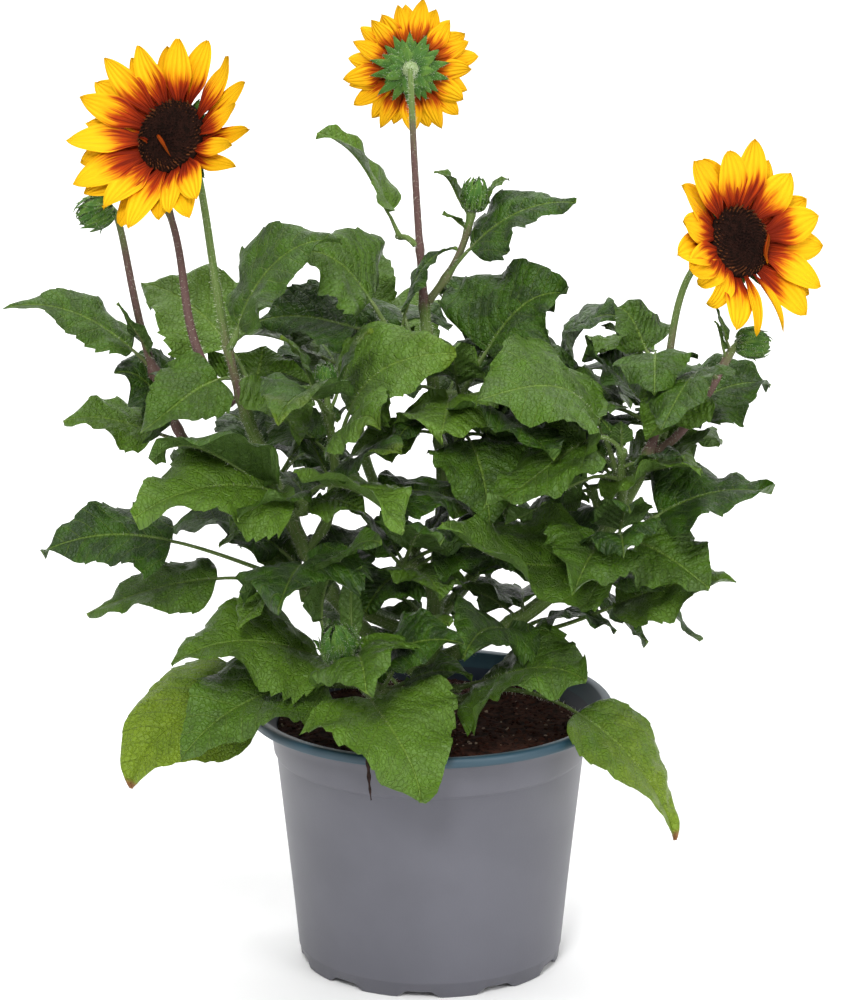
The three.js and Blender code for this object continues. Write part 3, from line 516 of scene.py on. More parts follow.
def blade_surface(curve: Bend, shares: Array, across: Array, half: Array, raised: Array, left: Array,
                  roll: float, thick: float, values: Callable[[Array, Array], dict[str, Array]]) -> Surface:
    """Makes a thin closed blade with an upper and a lower face that meet at its edge.

    Args:
        curve: The midrib, in millimetres.
        shares: Places of the rows on the curve.
        across: Places of the columns, from -1 at the right edge to 1 at the left.
        half: Half width at each row and column, in millimetres.
        raised: How far each point stands over the midrib's plane, in millimetres.
        left: The level direction to the blade's left.
        roll: How far the left side is lifted, in degrees.
        thick: Thickness in the middle, in millimetres.
        values: Gives the named values of the upper face, from the places along and across.

    Returns:
        The closed blade.
    """
    rows, columns = len(shares), len(across)
    middle, side, upper = frames_along(curve, shares, left, roll)
    u = np.broadcast_to(across, (rows, columns))
    sheet = middle[:, None] + side[:, None] * (u * half)[..., None] + upper[:, None] * raised[..., None]
    normal = unit(np.cross(np.gradient(sheet, axis=0), np.gradient(sheet, axis=1)))
    normal *= np.sign(np.sum(normal * upper[:, None], -1, keepdims=True))
    inset = (thick / 2) * np.minimum(1, 4 * (1 - np.abs(u)))[..., None]
    top = (sheet + normal * inset).reshape(-1, 3)
    bottom = (sheet - normal * inset).reshape(-1, 3)
    edge = np.zeros((rows, columns), bool)
    edge[[0, -1]] = True
    edge[:, [0, -1]] = True
    inner = ~edge.ravel()
    lower = np.arange(rows * columns)
    lower[inner] = rows * columns + np.arange(inner.sum())
    faces = grid_faces(rows, columns)
    named = values(np.broadcast_to(shares[:, None], u.shape), u)
    values_all = {}
    for name, value in named.items():
        flat = np.broadcast_to(value, (rows, columns, 3)).reshape(-1, 3)
        under = flat[inner].copy()
        if name == "kind":
            under[:, 0] = 1
        values_all[name] = np.concatenate([flat, under])
    v = np.linspace(0, 1, rows)[:, None] + 0 * u
    uv_flat = np.stack([u * 0.5 + 0.5, v], -1).reshape(-1, 2)
    quads = np.concatenate([faces[:, ::-1], lower[faces]])
    return Surface(
        points=np.concatenate([top, bottom[inner]]) * MM,
        quads=quads,
        values=values_all,
        sheets=np.concatenate([np.zeros(len(faces), int), np.ones(len(faces), int)]),
        uv=np.concatenate([uv_flat[faces][:, ::-1], uv_flat[faces]]),
    )


class Part:
    """The first part of a leaf's spine, sunk beneath the blade where there is one."""

    DEPTH = 0.75
    SINKS = (0.9, 1.15)

    def __init__(self, spine: Bend, end: float, bare: float, roll: float, left: Array) -> None:
        """Takes the spine, where the part ends, where the blade starts, and how the blade lies."""
        self.spine, self.end, self.bare, self.roll, self.left = spine, end, bare, roll, left

    def at(self, share: Array) -> Array:
        """Gives points at shares of the part."""
        place = np.asarray(share) * self.end
        middle, _, upper = frames_along(self.spine, place, self.left, self.roll)
        start, end = (self.bare * share for share in self.SINKS)
        return middle - upper * (self.DEPTH * smoothstep(start, end, place))[..., None]

    def way(self, share: Array) -> Array:
        """Gives unit directions at shares of the part."""
        return self.spine.way(np.asarray(share) * self.end)


def tube_surface(curve: Bend | Part, radius: Profile, sides: int, shares: Array,
                 ridge: float, ridges: int, blush: Profile, length: float,
                 root: float) -> Surface:
    """Makes a closed tube along a curve.

    Args:
        curve: The middle line, in millimetres.
        radius: Gives the radius at shares of the length, in millimetres.
        sides: Points round.
        shares: Places of the rings.
        ridge: How far the lengthwise ridges stand, as a share of the radius.
        ridges: How many ridges there are.
        blush: Gives how purple the tube is at shares of its length.
        length: The curve's length in millimetres.
        root: How far the foot runs back past the curve's start, in millimetres.

    Returns:
        The closed tube.
    """
    way, middle, size = curve.way(shares), curve.at(shares), radius(shares)
    if root:
        way = np.concatenate([way[:1], way])
        middle = np.concatenate([middle[:1] - way[:1] * root, middle])
        size = np.concatenate([size[:1] * ROOT_GIRTH, size])
        shares = np.concatenate([shares[:1], shares])
    normal = UP if abs(way[0][2]) < 0.9 else RIGHT
    normals = []
    for step in way:
        normal = unit(normal - step * float(normal @ step))
        normals.append(normal)
    first = np.array(normals)
    second = np.cross(way, first)
    angle = np.linspace(0, 2 * math.pi, sides, endpoint=False)
    girth = size[:, None] * (1 + ridge * np.cos(ridges * angle)[None])
    ring = (middle[:, None] + first[:, None] * (girth * np.cos(angle))[..., None]
            + second[:, None] * (girth * np.sin(angle))[..., None])
    rows = len(shares)
    points = np.concatenate([ring.reshape(-1, 3), middle[:1], middle[-1:]])
    around = np.arange(sides)
    after = (around + 1) % sides
    last = (rows - 1) * sides
    foot = np.stack([np.full(sides, rows * sides), after, around], -1)
    tip = np.stack([np.full(sides, rows * sides + 1), last + around, last + after], -1)
    turn = 0.5 + 0.5 * np.cos(angle + 0.4)
    named = np.broadcast_arrays(blush(shares)[:, None], (shares * length)[:, None], turn[None])
    flat = np.stack(named, -1).reshape(-1, 3)
    stem = np.concatenate([flat, flat[:1], flat[-1:]])
    return Surface(points * MM, grid_faces(rows, sides, closed=True), np.concatenate([foot, tip]),
                   {"stem": stem})


def stem_blush(name: str) -> Profile:
    """Gives how purple a limb is along its length.

    Args:
        name: The limb, whose flush starts, fades and ends as FLUSHES says.

    Returns:
        A function of shares of the length.
    """
    start, fade, end, most = FLUSHES.get(name, PLAIN_FLUSH)
    rise = start + FLUSH_RISE
    return lambda s: 0.05 + most * smoothstep(start, rise, s) * (1 - smoothstep(fade, end, s))


def twig_blush(most: float) -> Profile:
    """Gives how purple a side stem is: it is greener towards its tip."""
    return lambda s: most * (1 - 0.6 * smoothstep(0.7, 1.0, s))


class Sheaf:
    """Gathers surfaces that become one mesh."""

    MARGIN = 0.03

    def __init__(self, *surfaces: Surface) -> None:
        """Takes the first surfaces, if any."""
        self.surfaces = list(surfaces)

    def add(self, *surfaces: Surface) -> None:
        """Takes surfaces in."""
        self.surfaces.extend(surfaces)

    def build(self, name: str, finish: "Finish") -> Object:
        """Joins the surfaces into one smooth mesh at the origin.

        Args:
            name: The piece's name.
            finish: What it is made of.

        Returns:
            The new object.
        """
        offsets = np.cumsum([0] + [len(s.points) for s in self.surfaces])
        quads = np.concatenate([s.quads + o for s, o in zip(self.surfaces, offsets)])
        triangles = np.concatenate([s.triangles + o for s, o in zip(self.surfaces, offsets)])
        mesh = bpy.data.meshes.new(name)
        mesh.vertices.add(int(offsets[-1]))
        mesh.vertices.foreach_set("co", np.concatenate([s.points for s in self.surfaces]).ravel())
        corners = np.concatenate([quads.ravel(), triangles.ravel()])
        mesh.loops.add(len(corners))
        mesh.loops.foreach_set("vertex_index", corners.astype(np.int32))
        mesh.polygons.add(len(quads) + len(triangles))
        starts = np.cumsum([0] + [4] * len(quads) + [3] * len(triangles))[:-1]
        mesh.polygons.foreach_set("loop_start", starts.astype(np.int32))
        names = {key for s in self.surfaces for key in s.values}
        for key in sorted(names):
            layer = mesh.attributes.new(key, "FLOAT_VECTOR", "POINT")
            parts = [s.values.get(key, np.zeros((len(s.points), 3))) for s in self.surfaces]
            layer.data.foreach_set("vector", np.concatenate(parts).astype(np.float32).ravel())
        if all(s.uv is not None for s in self.surfaces) and not len(triangles):
            self._lay_out(mesh)
        mesh.update(calc_edges=True)
        mesh.validate()
        mesh.polygons.foreach_set("use_smooth", np.ones(len(mesh.polygons), bool))
        mesh.set_sharp_from_angle(angle=math.radians(SHARP))
        mesh.materials.append(finish.material())
        piece = bpy.data.objects.new(name, mesh)
        bpy.context.scene.collection.objects.link(piece)
        return piece

    def _lay_out(self, mesh: bpy.types.Mesh) -> None:
        """Gives every sheet its own square of the map, so that each bakes at full detail.

        Args:
            mesh: The mesh whose faces follow the surfaces' order.
        """
        count = sum(int(s.sheets.max()) + 1 for s in self.surfaces)
        cells = math.ceil(math.sqrt(count))
        corners = []
        cell = 0
        for s in self.surfaces:
            number = cell + s.sheets
            place = np.stack([number % cells, number // cells], -1)[:, None]
            corners.append((place + self.MARGIN + (1 - 2 * self.MARGIN) * s.uv) / cells)
            cell += int(s.sheets.max()) + 1
        layer = mesh.uv_layers.new(name="OFBake")
        layer.data.foreach_set("uv", np.concatenate(corners).astype(np.float32).ravel())


# Stems and leaves grown from the plan


@dataclass(frozen=True)
class Stem:
    """A grown stem: its curve and its sizes."""

    spec: StemSpec
    curve: Bend


def foot_of(spec: StemSpec, parent: Stem | None, leave: Array) -> Array:
    """Finds where a stem starts, just clear of its parent.

    Args:
        spec: The stem's plan.
        parent: The stem that carries it, if any.
        leave: The unit direction in which it starts.

    Returns:
        The starting point.
    """
    if parent is None:
        return np.array(spec.start, float)
    place = parent.curve.at(spec.at)
    if spec.at == 1:
        return place + leave * CLEARANCE
    cosine = abs(float(leave @ parent.curve.way(spec.at)))
    girth = lerp(*parent.spec.thick, spec.at)
    return place + leave * (girth + CLEARANCE + spec.thick[0] * cosine) / math.sqrt(1 - cosine * cosine)


def grow(spec: StemSpec, stems: dict[str, Stem]) -> Stem:
    """Grows one stem from its plan, as the solids do.

    Args:
        spec: The stem's plan.
        stems: The stems that may carry it.

    Returns:
        The grown stem.
    """
    parent = stems.get(spec.on)
    bloom = next((b for b in BLOOMS if b.name == spec.bloom), None)
    end = np.array(bloom.at if bloom else spec.to, float)
    if bloom:
        end = end - direction(*bloom.facing) * (BLOOM_DEPTH + CLEARANCE)
    if parent and spec.at == 1:
        leave = parent.curve.way(1)
    elif spec.leave:
        leave = direction(*spec.leave)
    else:
        leave = unit(end - parent.curve.at(spec.at))
    start = foot_of(spec, parent, leave)
    if bloom:
        arrive = direction(*bloom.facing)
    else:
        arrive = direction(*spec.arrive) if spec.arrive else unit(end - start)
    return Stem(spec, Bend(start, end, leave, arrive, spec.pull))


def leaf_spine(stem: Stem, leaf: LeafSpec) -> Bend:
    """Gives the curve of a leaf's stalk and midrib.

    Args:
        stem: The stem that carries the leaf.
        leaf: The leaf's plan.

    Returns:
        The curve, from the stem's middle to the leaf's tip.
    """
    foot = stem.curve.at(leaf.at)
    tip = foot + direction(leaf.heading) * leaf.reach + UP * leaf.lift
    leave = direction(leaf.heading + leaf.turn, leaf.rise)
    return Bend(foot, tip, leave, direction(leaf.heading, leaf.dip), leaf.pull)


PROBE_SHARES = np.array([0.04, 0.16, 0.28, 0.4, 0.52, 0.64, 0.76, 0.88, 1])
PROBE_SIDES = np.array([-1, -0.5, 0, 0.5, 1])
STALK_PROBE_SHARES = np.array([0.6, 0.85])
STEM_PROBE_STEP = 5.0
PROBE_GAP = 7.6
POT_TOP = 138.6
POT_REACH = 95.0
POT_GAP = 4.0


def leaf_probes(spine: Bend, leaf: LeafSpec) -> Array:
    """Gives the places at which a leaf is tested for room.

    Args:
        spine: The leaf's curve.
        leaf: The leaf's plan.

    Returns:
        Points on its stalk and over its blade.
    """
    shares, left = lerp(leaf.bare, 1, PROBE_SHARES), direction(leaf.heading + 90)
    middle, side, upper = frames_along(spine, shares, left, leaf.roll)
    half = leaf.width / 2 * np.maximum(np.sin(math.pi * np.minimum(PROBE_SHARES + 0.02, 1) ** 0.55), 0)
    lift = math.radians(leaf.fold)
    spread = (np.abs(PROBE_SIDES) * half[:, None])[..., None]
    hand = np.sign(PROBE_SIDES)[None, :, None]
    points = (middle[:, None] + side[:, None] * hand * spread * math.cos(lift)
              + upper[:, None] * spread * math.sin(lift))
    return np.concatenate([spine.at(STALK_PROBE_SHARES * leaf.bare), points.reshape(-1, 3)])


def stem_probes(stem: Stem) -> Array:
    """Gives the places at which a stem keeps leaves away."""
    return stem.curve.at(np.linspace(0, 1, math.ceil(stem.curve.length / STEM_PROBE_STEP) + 1))


def has_room(probes: Array, taken: Array, gap: float = PROBE_GAP) -> bool:
    """Says whether a leaf is clear of the pot and of what has grown.

    Args:
        probes: The leaf's places.
        taken: The places of all that has grown.
        gap: How far apart they stay, in millimetres.

    Returns:
        True where there is room.
    """
    outward = np.hypot(probes[:, 0], probes[:, 1])
    if not np.all((probes[:, 2] > POT_TOP + POT_GAP) | (outward > POT_REACH + POT_GAP)):
        return False
    gaps = np.linalg.norm(probes[:, None] - taken[None], axis=-1)
    return bool(gaps.min() > gap)


class Plant:
    """The grown plan: every stem, and every leaf with the spray that carries it."""

    TRIES = 25
    TRY_TURN = 29.0
    TRY_SHRINK = 0.012
    SIZES = (1.05, 0.72)
    SIZE_SPREAD = (0.9, 1.1)
    LIFT_SPREAD = (-18, 18)
    LIFT_GAIN = 16
    RISE = (20, 60)
    DIP = (-50, -15)
    ROLL = (-16, 16)
    LAST_AT = 0.97

    FINER_ROUNDS = 14
    FINER_TRIES = 10
    FINER_GAP = 4.2
    FINER_AT = (0.3, 0.97)
    FINER_REACH = (40, 84)
    FINER_LIFT = (-18, 34)
    FINER_SLENDER = (0.62, 0.86)
    FINER_RISE = (15, 65)
    FINER_DIP = (-45, 5)
    FINER_ROLL = (-38, 38)
    FINER_FOLD = (6, 26)
    CROWN = ((178.0, 118.0), (168.0, 345.0))

    def __init__(self) -> None:
        """Grows the limbs, then the sprays, then the leaves of the rules."""
        self.limbs: dict[str, Stem] = {}
        for spec in LIMBS:
            self.limbs[spec.name] = grow(spec, self.limbs)
        self.sprays = {spray.name: grow(spray.stem, self.limbs) for spray in SPRAYS}
        self.leaves: dict[str, list[LeafSpec]] = {spray.name: list(spray.leaves) for spray in SPRAYS}
        taken = [stem_probes(stem) for stem in self.limbs.values()]
        for spray in SPRAYS:
            stem = self.sprays[spray.name]
            taken.append(stem_probes(stem))
            taken.extend(leaf_probes(leaf_spine(stem, leaf), leaf) for leaf in spray.leaves)
        self.taken = np.concatenate(taken)
        for index, spray in enumerate(SPRAYS):
            draw = seeded_draws(SEED + index)
            for i in range(spray.rule.leaves if spray.rule else 0):
                self._add_leaf(spray, i, draw)
        for turn in range(self.FINER_ROUNDS):
            for index, spray in enumerate(SPRAYS):
                if spray.region is not Region.OLD:
                    self._add_finer(spray, np.random.default_rng([SEED, 50 + turn, index]))

    def _in_crown(self, points: Array) -> bool:
        """Says whether points lie within the crown that the solids fill.

        Args:
            points: The points, in millimetres.

        Returns:
            True where all of them do.
        """
        (wide, deep), (low, high) = self.CROWN
        level = (points[:, 0] / wide) ** 2 + (points[:, 1] / deep) ** 2
        return bool(np.all(level < 1) and points[:, 2].min() > low and points[:, 2].max() < high)

    def _keep(self, spray: Spray, leaf: LeafSpec, probes: Array) -> None:
        """Adds a leaf that has room."""
        self.taken = np.concatenate([self.taken, probes])
        self.leaves[spray.name].append(leaf)

    def _add_finer(self, spray: Spray, rng: Rng) -> None:
        """Adds one smaller leaf within the crown, where one of a few tries has room.

        Args:
            spray: The spray that carries it.
            rng: Random numbers for the tries.
        """
        stem = self.sprays[spray.name]
        for _ in range(self.FINER_TRIES):
            reach = rng.uniform(*self.FINER_REACH)
            leaf = LeafSpec(
                at=rng.uniform(*self.FINER_AT),
                heading=rng.uniform(0, 360),
                reach=reach,
                lift=rng.uniform(*self.FINER_LIFT),
                width=reach * rng.uniform(*self.FINER_SLENDER),
                rise=rng.uniform(*self.FINER_RISE),
                dip=rng.uniform(*self.FINER_DIP),
                roll=rng.uniform(*self.FINER_ROLL),
                fold=rng.uniform(*self.FINER_FOLD),
            )
            tip = (stem.curve.at(leaf.at) + direction(leaf.heading) * reach + UP * leaf.lift)[None]
            if not (self._in_crown(tip) and has_room(tip, self.taken, self.FINER_GAP)):
                continue
            probes = leaf_probes(leaf_spine(stem, leaf), leaf)
            if self._in_crown(probes) and has_room(probes, self.taken, self.FINER_GAP):
                self._keep(spray, leaf, probes)
                return

    def _add_leaf(self, spray: Spray, index: int, draw: Callable[[], float]) -> None:
        """Adds one leaf of a rule: the first of a few turned tries that has room.

        Args:
            spray: The spray with the rule.
            index: Which leaf of the rule.
            draw: The spray's chain of random numbers.
        """
        rule = spray.rule
        stem = self.sprays[spray.name]
        share = index / (rule.leaves - 1) if rule.leaves > 1 else 1
        size = lerp(*self.SIZES, share) * lerp(*self.SIZE_SPREAD, draw())
        for attempt in range(self.TRIES):
            turn = self.TRY_TURN * math.ceil(attempt / 2) * (1 if attempt % 2 else -1)
            trial = size * (1 - self.TRY_SHRINK * attempt)
            leaf = LeafSpec(
                at=lerp(rule.start, self.LAST_AT, share),
                heading=rule.heading + index * GOLDEN_TURN + turn,
                reach=rule.reach * trial,
                lift=rule.lift + lerp(*self.LIFT_SPREAD, draw()) + self.LIFT_GAIN * share,
                width=rule.width * trial,
                rise=lerp(*self.RISE, draw()),
                dip=lerp(*self.DIP, draw()),
                roll=lerp(*self.ROLL, draw()),
            )
            probes = leaf_probes(leaf_spine(stem, leaf), leaf)
            if has_room(probes, self.taken):
                self._keep(spray, leaf, probes)
                return


# Finishes


class Value:
    """A socket's value in a node tree, with plain arithmetic."""

    def __init__(self, nodes: "Nodes", socket: Socket) -> None:
        """Keeps the tree's builder and the socket."""
        self.nodes, self.socket = nodes, socket

    def __add__(self, other: "Value | float") -> "Value":
        """Adds a step that adds."""
        return self.nodes.math("ADD", self, other)

    def __sub__(self, other: "Value | float") -> "Value":
        """Adds a step that subtracts."""
        return self.nodes.math("SUBTRACT", self, other)

    def __rsub__(self, other: float) -> "Value":
        """Adds a step that subtracts from a number."""
        return self.nodes.math("SUBTRACT", other, self)

    def __mul__(self, other: "Value | float") -> "Value":
        """Adds a step that multiplies."""
        return self.nodes.math("MULTIPLY", self, other)

    def __truediv__(self, other: "Value | float") -> "Value":
        """Adds a step that divides."""
        return self.nodes.math("DIVIDE", self, other)

    def __abs__(self) -> "Value":
        """Adds a step that drops the sign."""
        return self.nodes.math("ABSOLUTE", self)

    def over(self, limit: float) -> "Value":
        """Gives 1 where the value is over a limit, and otherwise 0."""
        return self.nodes.math("GREATER_THAN", self, limit)

    def spread(self, amount: float) -> "Value":
        """Turns a cloud's value, which is about a half, into one that swings about 0."""
        return (self - 0.5) * amount


class Nodes:
    """Builds a node tree step by step."""

    def __init__(self, tree: bpy.types.NodeTree) -> None:
        """Takes an empty tree."""
        self.tree = tree

    def add(self, kind: str, inputs: dict | None = None, **settings: object) -> bpy.types.Node:
        """Adds a node.

        Args:
            kind: The node's type.
            inputs: Values or sockets for its inputs, by name or number.
            settings: Its other properties.

        Returns:
            The new node.
        """
        node = self.tree.nodes.new(kind)
        for key, value in settings.items():
            setattr(node, key, value)
        for key, value in (inputs or {}).items():
            value = value.socket if isinstance(value, Value) else value
            if isinstance(value, Socket):
                self.tree.links.new(value, node.inputs[key])
            else:
                node.inputs[key].default_value = value
        return node

    def value(self, kind: str, inputs: dict | None = None, output: int | str = 0,
              **settings: object) -> Value:
        """Adds a node and gives one of its outputs.

        Args:
            kind: The node's type.
            inputs: Values or sockets for its inputs, by name or number.
            output: Which output, by number or name.
            settings: Its other properties.

        Returns:
            The output's value.
        """
        return Value(self, self.add(kind, inputs, **settings).outputs[output])

    def math(self, operation: str, *values: Value | float) -> Value:
        """Adds a step of arithmetic."""
        return self.value("ShaderNodeMath", dict(enumerate(values)), operation=operation)

    def ramp(self, value: Value, low: Value | float, high: Value | float, start: float = 0.0,
             end: float = 1.0) -> Value:
        """Moves smoothly from start to end while a value goes from low to high."""
        return self.value("ShaderNodeMapRange", {0: value, 1: low, 2: high, 3: start, 4: end},
                          interpolation_type="SMOOTHSTEP")

    def blend(self, first: Value | Triple, second: Value | Triple, share: Value | float) -> Value:
        """Mixes two colours."""
        first, second = ((*c, 1.0) if isinstance(c, tuple) else c for c in (first, second))
        return self.value("ShaderNodeMix", {0: share, 6: first, 7: second}, 2, data_type="RGBA")

    def noise(self, place: Value, scale: float, detail: float = 3.0, rough: float = 0.55) -> Value:
        """Gives an even, cloudy value at a place."""
        return self.value("ShaderNodeTexNoise", {"Vector": place, "Scale": scale, "Detail": detail,
                                                 "Roughness": rough})

    def attribute(self, name: str) -> list[Value]:
        """Gives the three values of a named triple."""
        triple = self.value("ShaderNodeAttribute", output="Vector", attribute_name=name)
        return [Value(self, socket) for socket in self.add("ShaderNodeSeparateXYZ", {0: triple}).outputs]

    def vector(self, *values: Value | float) -> Value:
        """Joins three values into a place."""
        return self.value("ShaderNodeCombineXYZ", dict(enumerate(values)))

    @property
    def position(self) -> Value:
        """The place in the object's own metres."""
        return self.value("ShaderNodeTexCoord", output="Object")


Coat = tuple[Value, Value, float]


@dataclass(frozen=True)
class Finish:
    """What every finish shares: its name, its roughness and how strongly it mirrors."""

    name: str
    roughness: float
    mirror: float

    def material(self) -> bpy.types.Material:
        """Makes the finish, or gives the one made before.

        Returns:
            The material.
        """
        made = bpy.data.materials.get(self.name)
        if made:
            return made
        made = bpy.data.materials.new(self.name)
        made.use_nodes = True
        made.node_tree.nodes.clear()
        nodes = Nodes(made.node_tree)
        colour, height, depth = self.paint(nodes)
        bump = nodes.value("ShaderNodeBump", {"Height": height, "Distance": depth, "Strength": 1.0})
        shader = nodes.value("ShaderNodeBsdfPrincipled", {
            "Base Color": colour, "Roughness": self.roughness, "Specular IOR Level": self.mirror,
            "Normal": bump})
        nodes.add("ShaderNodeOutputMaterial", {0: shader})
        return made

    def paint(self, nodes: Nodes) -> Coat:
        """Gives the colour, the relief and the relief's depth in metres.

        Args:
            nodes: The builder of the finish's tree.

        Returns:
            The three.
        """
        raise NotImplementedError


@dataclass(frozen=True)
class LeafFinish(Finish):
    """A leaf: green with pale sunken veins above, paler and ribbed beneath, yellow with age."""

    mid: Triple = (0.029, 0.078, 0.004)
    deep: Triple = (0.008, 0.026, 0.003)
    light: Triple = (0.088, 0.172, 0.014)
    vein: Triple = (0.155, 0.245, 0.034)
    beneath: Triple = (0.075, 0.135, 0.030)
    yellow: Triple = (0.150, 0.230, 0.010)
    dry: Triple = (0.200, 0.090, 0.030)
    # Pale grey-green: partly the down's own tint, partly a painted sheen.
    down_tint_and_sheen: Triple = (0.078, 0.126, 0.045)
    network: float = 2.4
    depth: float = 0.0013

    def paint(self, nodes: Nodes) -> Coat:
        """Gives the colour, the relief and the relief's depth in metres.

        Args:
            nodes: The builder of the finish's tree.

        Returns:
            The three.
        """
        across, along, rank = nodes.attribute("place")
        under, age, tone = nodes.attribute("kind")
        half, length, seed = nodes.attribute("size")
        midrib = nodes.ramp(abs(across) * half, 0.35, nodes.ramp(along, 0.0, 1.0, 1.5, 0.6), 1.0, 0.0)
        nearest = abs(nodes.math("FRACT", rank) - 0.5)
        veins = nodes.math("MAXIMUM", midrib, nodes.ramp(nearest, 0.45, 0.49) * 0.8)
        here = nodes.vector(across * half, along * length, seed)
        cells = nodes.value("ShaderNodeTexVoronoi", {"Vector": here, "Scale": 1 / self.network}, "Distance",
                            feature="DISTANCE_TO_EDGE", voronoi_dimensions="3D")
        mesh = nodes.ramp(cells, 0.0, 0.16, 1.0, 0.0)
        cloud = nodes.noise(here, 0.09, 4.0)
        speck = nodes.noise(here, 0.9)
        base = nodes.blend(self.mid, self.deep, nodes.ramp(cloud, 0.40, 0.62))
        base = nodes.blend(base, self.light, nodes.ramp(tone + speck.spread(0.35), 0.25, 1.05, 0.0, 0.85))
        lines = veins * 0.5 + mesh * 0.06
        top = nodes.blend(base, self.vein, lines)
        # Pale grey-green clouds over the upper face: partly the down's tint, partly a painted sheen.
        top = nodes.blend(top, self.down_tint_and_sheen, nodes.ramp(cloud, 0.42, 0.75, 0.0, 0.2))
        below = nodes.blend(nodes.blend(self.beneath, self.vein, lines), base, 0.35)
        face = nodes.blend(top, below, under)
        ageing = age + cloud.spread(0.9) + along.spread(0.7)
        face = nodes.blend(face, self.yellow, nodes.ramp(ageing, 0.3, 1.2) * nodes.ramp(age, 0.0, 0.2))
        face = nodes.blend(face, self.dry, nodes.ramp(along, 0.93, 0.975) * nodes.ramp(age, 0.6, 0.75))
        quilt = nodes.ramp(nearest, 0.0, 0.5, 1.0, 0.0)
        relief = quilt * 0.45 - veins * 0.5 - mesh * 0.35
        return face, relief * (1.0 - under * 2.0) + speck * 0.5, self.depth


@dataclass(frozen=True)
class StemFinish(Finish):
    """A stem: green, flushed purple-brown by its blush, with fine lengthwise streaks."""

    green: Triple = (0.090, 0.150, 0.032)
    pale: Triple = (0.160, 0.210, 0.070)
    flush: Triple = (0.112, 0.062, 0.056)
    depth: float = 0.0004

    def paint(self, nodes: Nodes) -> Coat:
        """Gives the colour, the relief and the relief's depth in metres.

        Args:
            nodes: The builder of the finish's tree.

        Returns:
            The three.
        """
        blush, along, turn = nodes.attribute("stem")
        streak = nodes.noise(nodes.vector(turn * 14.0, along * 0.06, 0.0), 1.0, 4.0)
        cloud = nodes.noise(nodes.position, 90.0)
        green = nodes.blend(self.green, self.pale, nodes.ramp(streak, 0.42, 0.68))
        share = blush + streak.spread(0.9) + cloud.spread(0.5)
        return nodes.blend(green, self.flush, nodes.ramp(share, 0.25, 0.8)), streak, self.depth


@dataclass(frozen=True)
class PetalFinish(Finish):
    """A ray petal: yellow, with flames of orange and red-brown that climb from its foot."""

    yellow: Triple = (0.740, 0.405, 0.006)
    warm: Triple = (0.700, 0.250, 0.003)
    flame: Triple = (0.330, 0.030, 0.002)
    dark: Triple = (0.100, 0.006, 0.002)
    depth: float = 0.00022

    def paint(self, nodes: Nodes) -> Coat:
        """Gives the colour, the relief and the relief's depth in metres.

        Args:
            nodes: The builder of the finish's tree.

        Returns:
            The three.
        """
        across, along, seed = nodes.attribute("place")
        under, reach, _ = nodes.attribute("kind")
        streaks = nodes.noise(nodes.vector(across * 2.6, along * 1.1, seed), 1.0, 4.0, 0.6)
        fine = nodes.noise(nodes.vector(across * 9.0, along * 1.4, seed), 1.0)
        left = reach + streaks.spread(0.75) + fine.spread(0.3) - along
        rib = nodes.math("COSINE", across * 16.0)
        colour = nodes.blend(self.yellow, self.warm, nodes.ramp(left, -0.22, 0.06, 0.0, 0.85))
        colour = nodes.blend(colour, self.warm, nodes.ramp(rib, 0.2, 1.0, 0.0, 0.22))
        colour = nodes.blend(colour, self.flame, nodes.ramp(left, -0.08, 0.16))
        colour = nodes.blend(colour, self.dark, nodes.ramp(left + fine.spread(0.5), 0.06, 0.36, 0.0, 0.85))
        colour = nodes.blend(colour, self.warm, under * 0.12)
        streak = nodes.ramp(fine, 0.52, 0.6) * nodes.ramp(along, 0.2, 0.9, 0.9, 0.0)
        return nodes.blend(colour, self.flame, streak * under), rib + fine, self.depth


@dataclass(frozen=True)
class BractFinish(Finish):
    """A bract: bright green, paler and yellower towards its edges, with fine ribs."""

    green: Triple = (0.046, 0.120, 0.018)
    pale: Triple = (0.130, 0.230, 0.035)
    deep: Triple = (0.014, 0.042, 0.009)
    depth: float = 0.0003

    def paint(self, nodes: Nodes) -> Coat:
        """Gives the colour, the relief and the relief's depth in metres.

        Args:
            nodes: The builder of the finish's tree.

        Returns:
            The three.
        """
        across, along, seed = nodes.attribute("place")
        rib = nodes.noise(nodes.vector(across * 5.0, along, seed), 1.3)
        cloud = nodes.noise(nodes.position, 220.0)
        colour = nodes.blend(self.deep, self.green, nodes.ramp(rib + along * 0.35, 0.35, 0.75))
        edge = nodes.ramp(cloud + abs(across) * 0.25, 0.5, 0.9, 0.0, 0.7)
        return nodes.blend(colour, self.pale, edge), rib, self.depth


@dataclass(frozen=True)
class PlainFinish(Finish):
    """One colour clouded by another, with a fine relief."""

    first: Triple
    second: Triple
    grain: float = 400.0
    depth: float = 0.0002

    def paint(self, nodes: Nodes) -> Coat:
        """Gives the colour, the relief and the relief's depth in metres.

        Args:
            nodes: The builder of the finish's tree.

        Returns:
            The three.
        """
        cloud = nodes.noise(nodes.position, self.grain, 4.0)
        return nodes.blend(self.first, self.second, nodes.ramp(cloud, 0.35, 0.65)), cloud, self.depth


@dataclass(frozen=True)
class SpreadFinish(Finish):
    """Small parts of several colours: each part's own tint says which."""

    low: Triple
    middle: Triple
    high: Triple
    step: Pair
    depth: float = 0.0001

    def paint(self, nodes: Nodes) -> Coat:
        """Gives the colour, the relief and the relief's depth in metres.

        Args:
            nodes: The builder of the finish's tree.

        Returns:
            The three.
        """
        tint = nodes.value("ShaderNodeAttribute", output="Fac", attribute_name="tint")
        grain = nodes.noise(nodes.position, 1500.0, 2.0)
        colour = nodes.blend(self.low, self.middle, nodes.ramp(tint, 0.0, self.step[0]))
        colour = nodes.blend(colour, self.high, nodes.ramp(tint, *self.step))
        return nodes.blend(colour, self.low, nodes.ramp(grain, 0.5, 0.8, 0.0, 0.5)), grain, self.depth


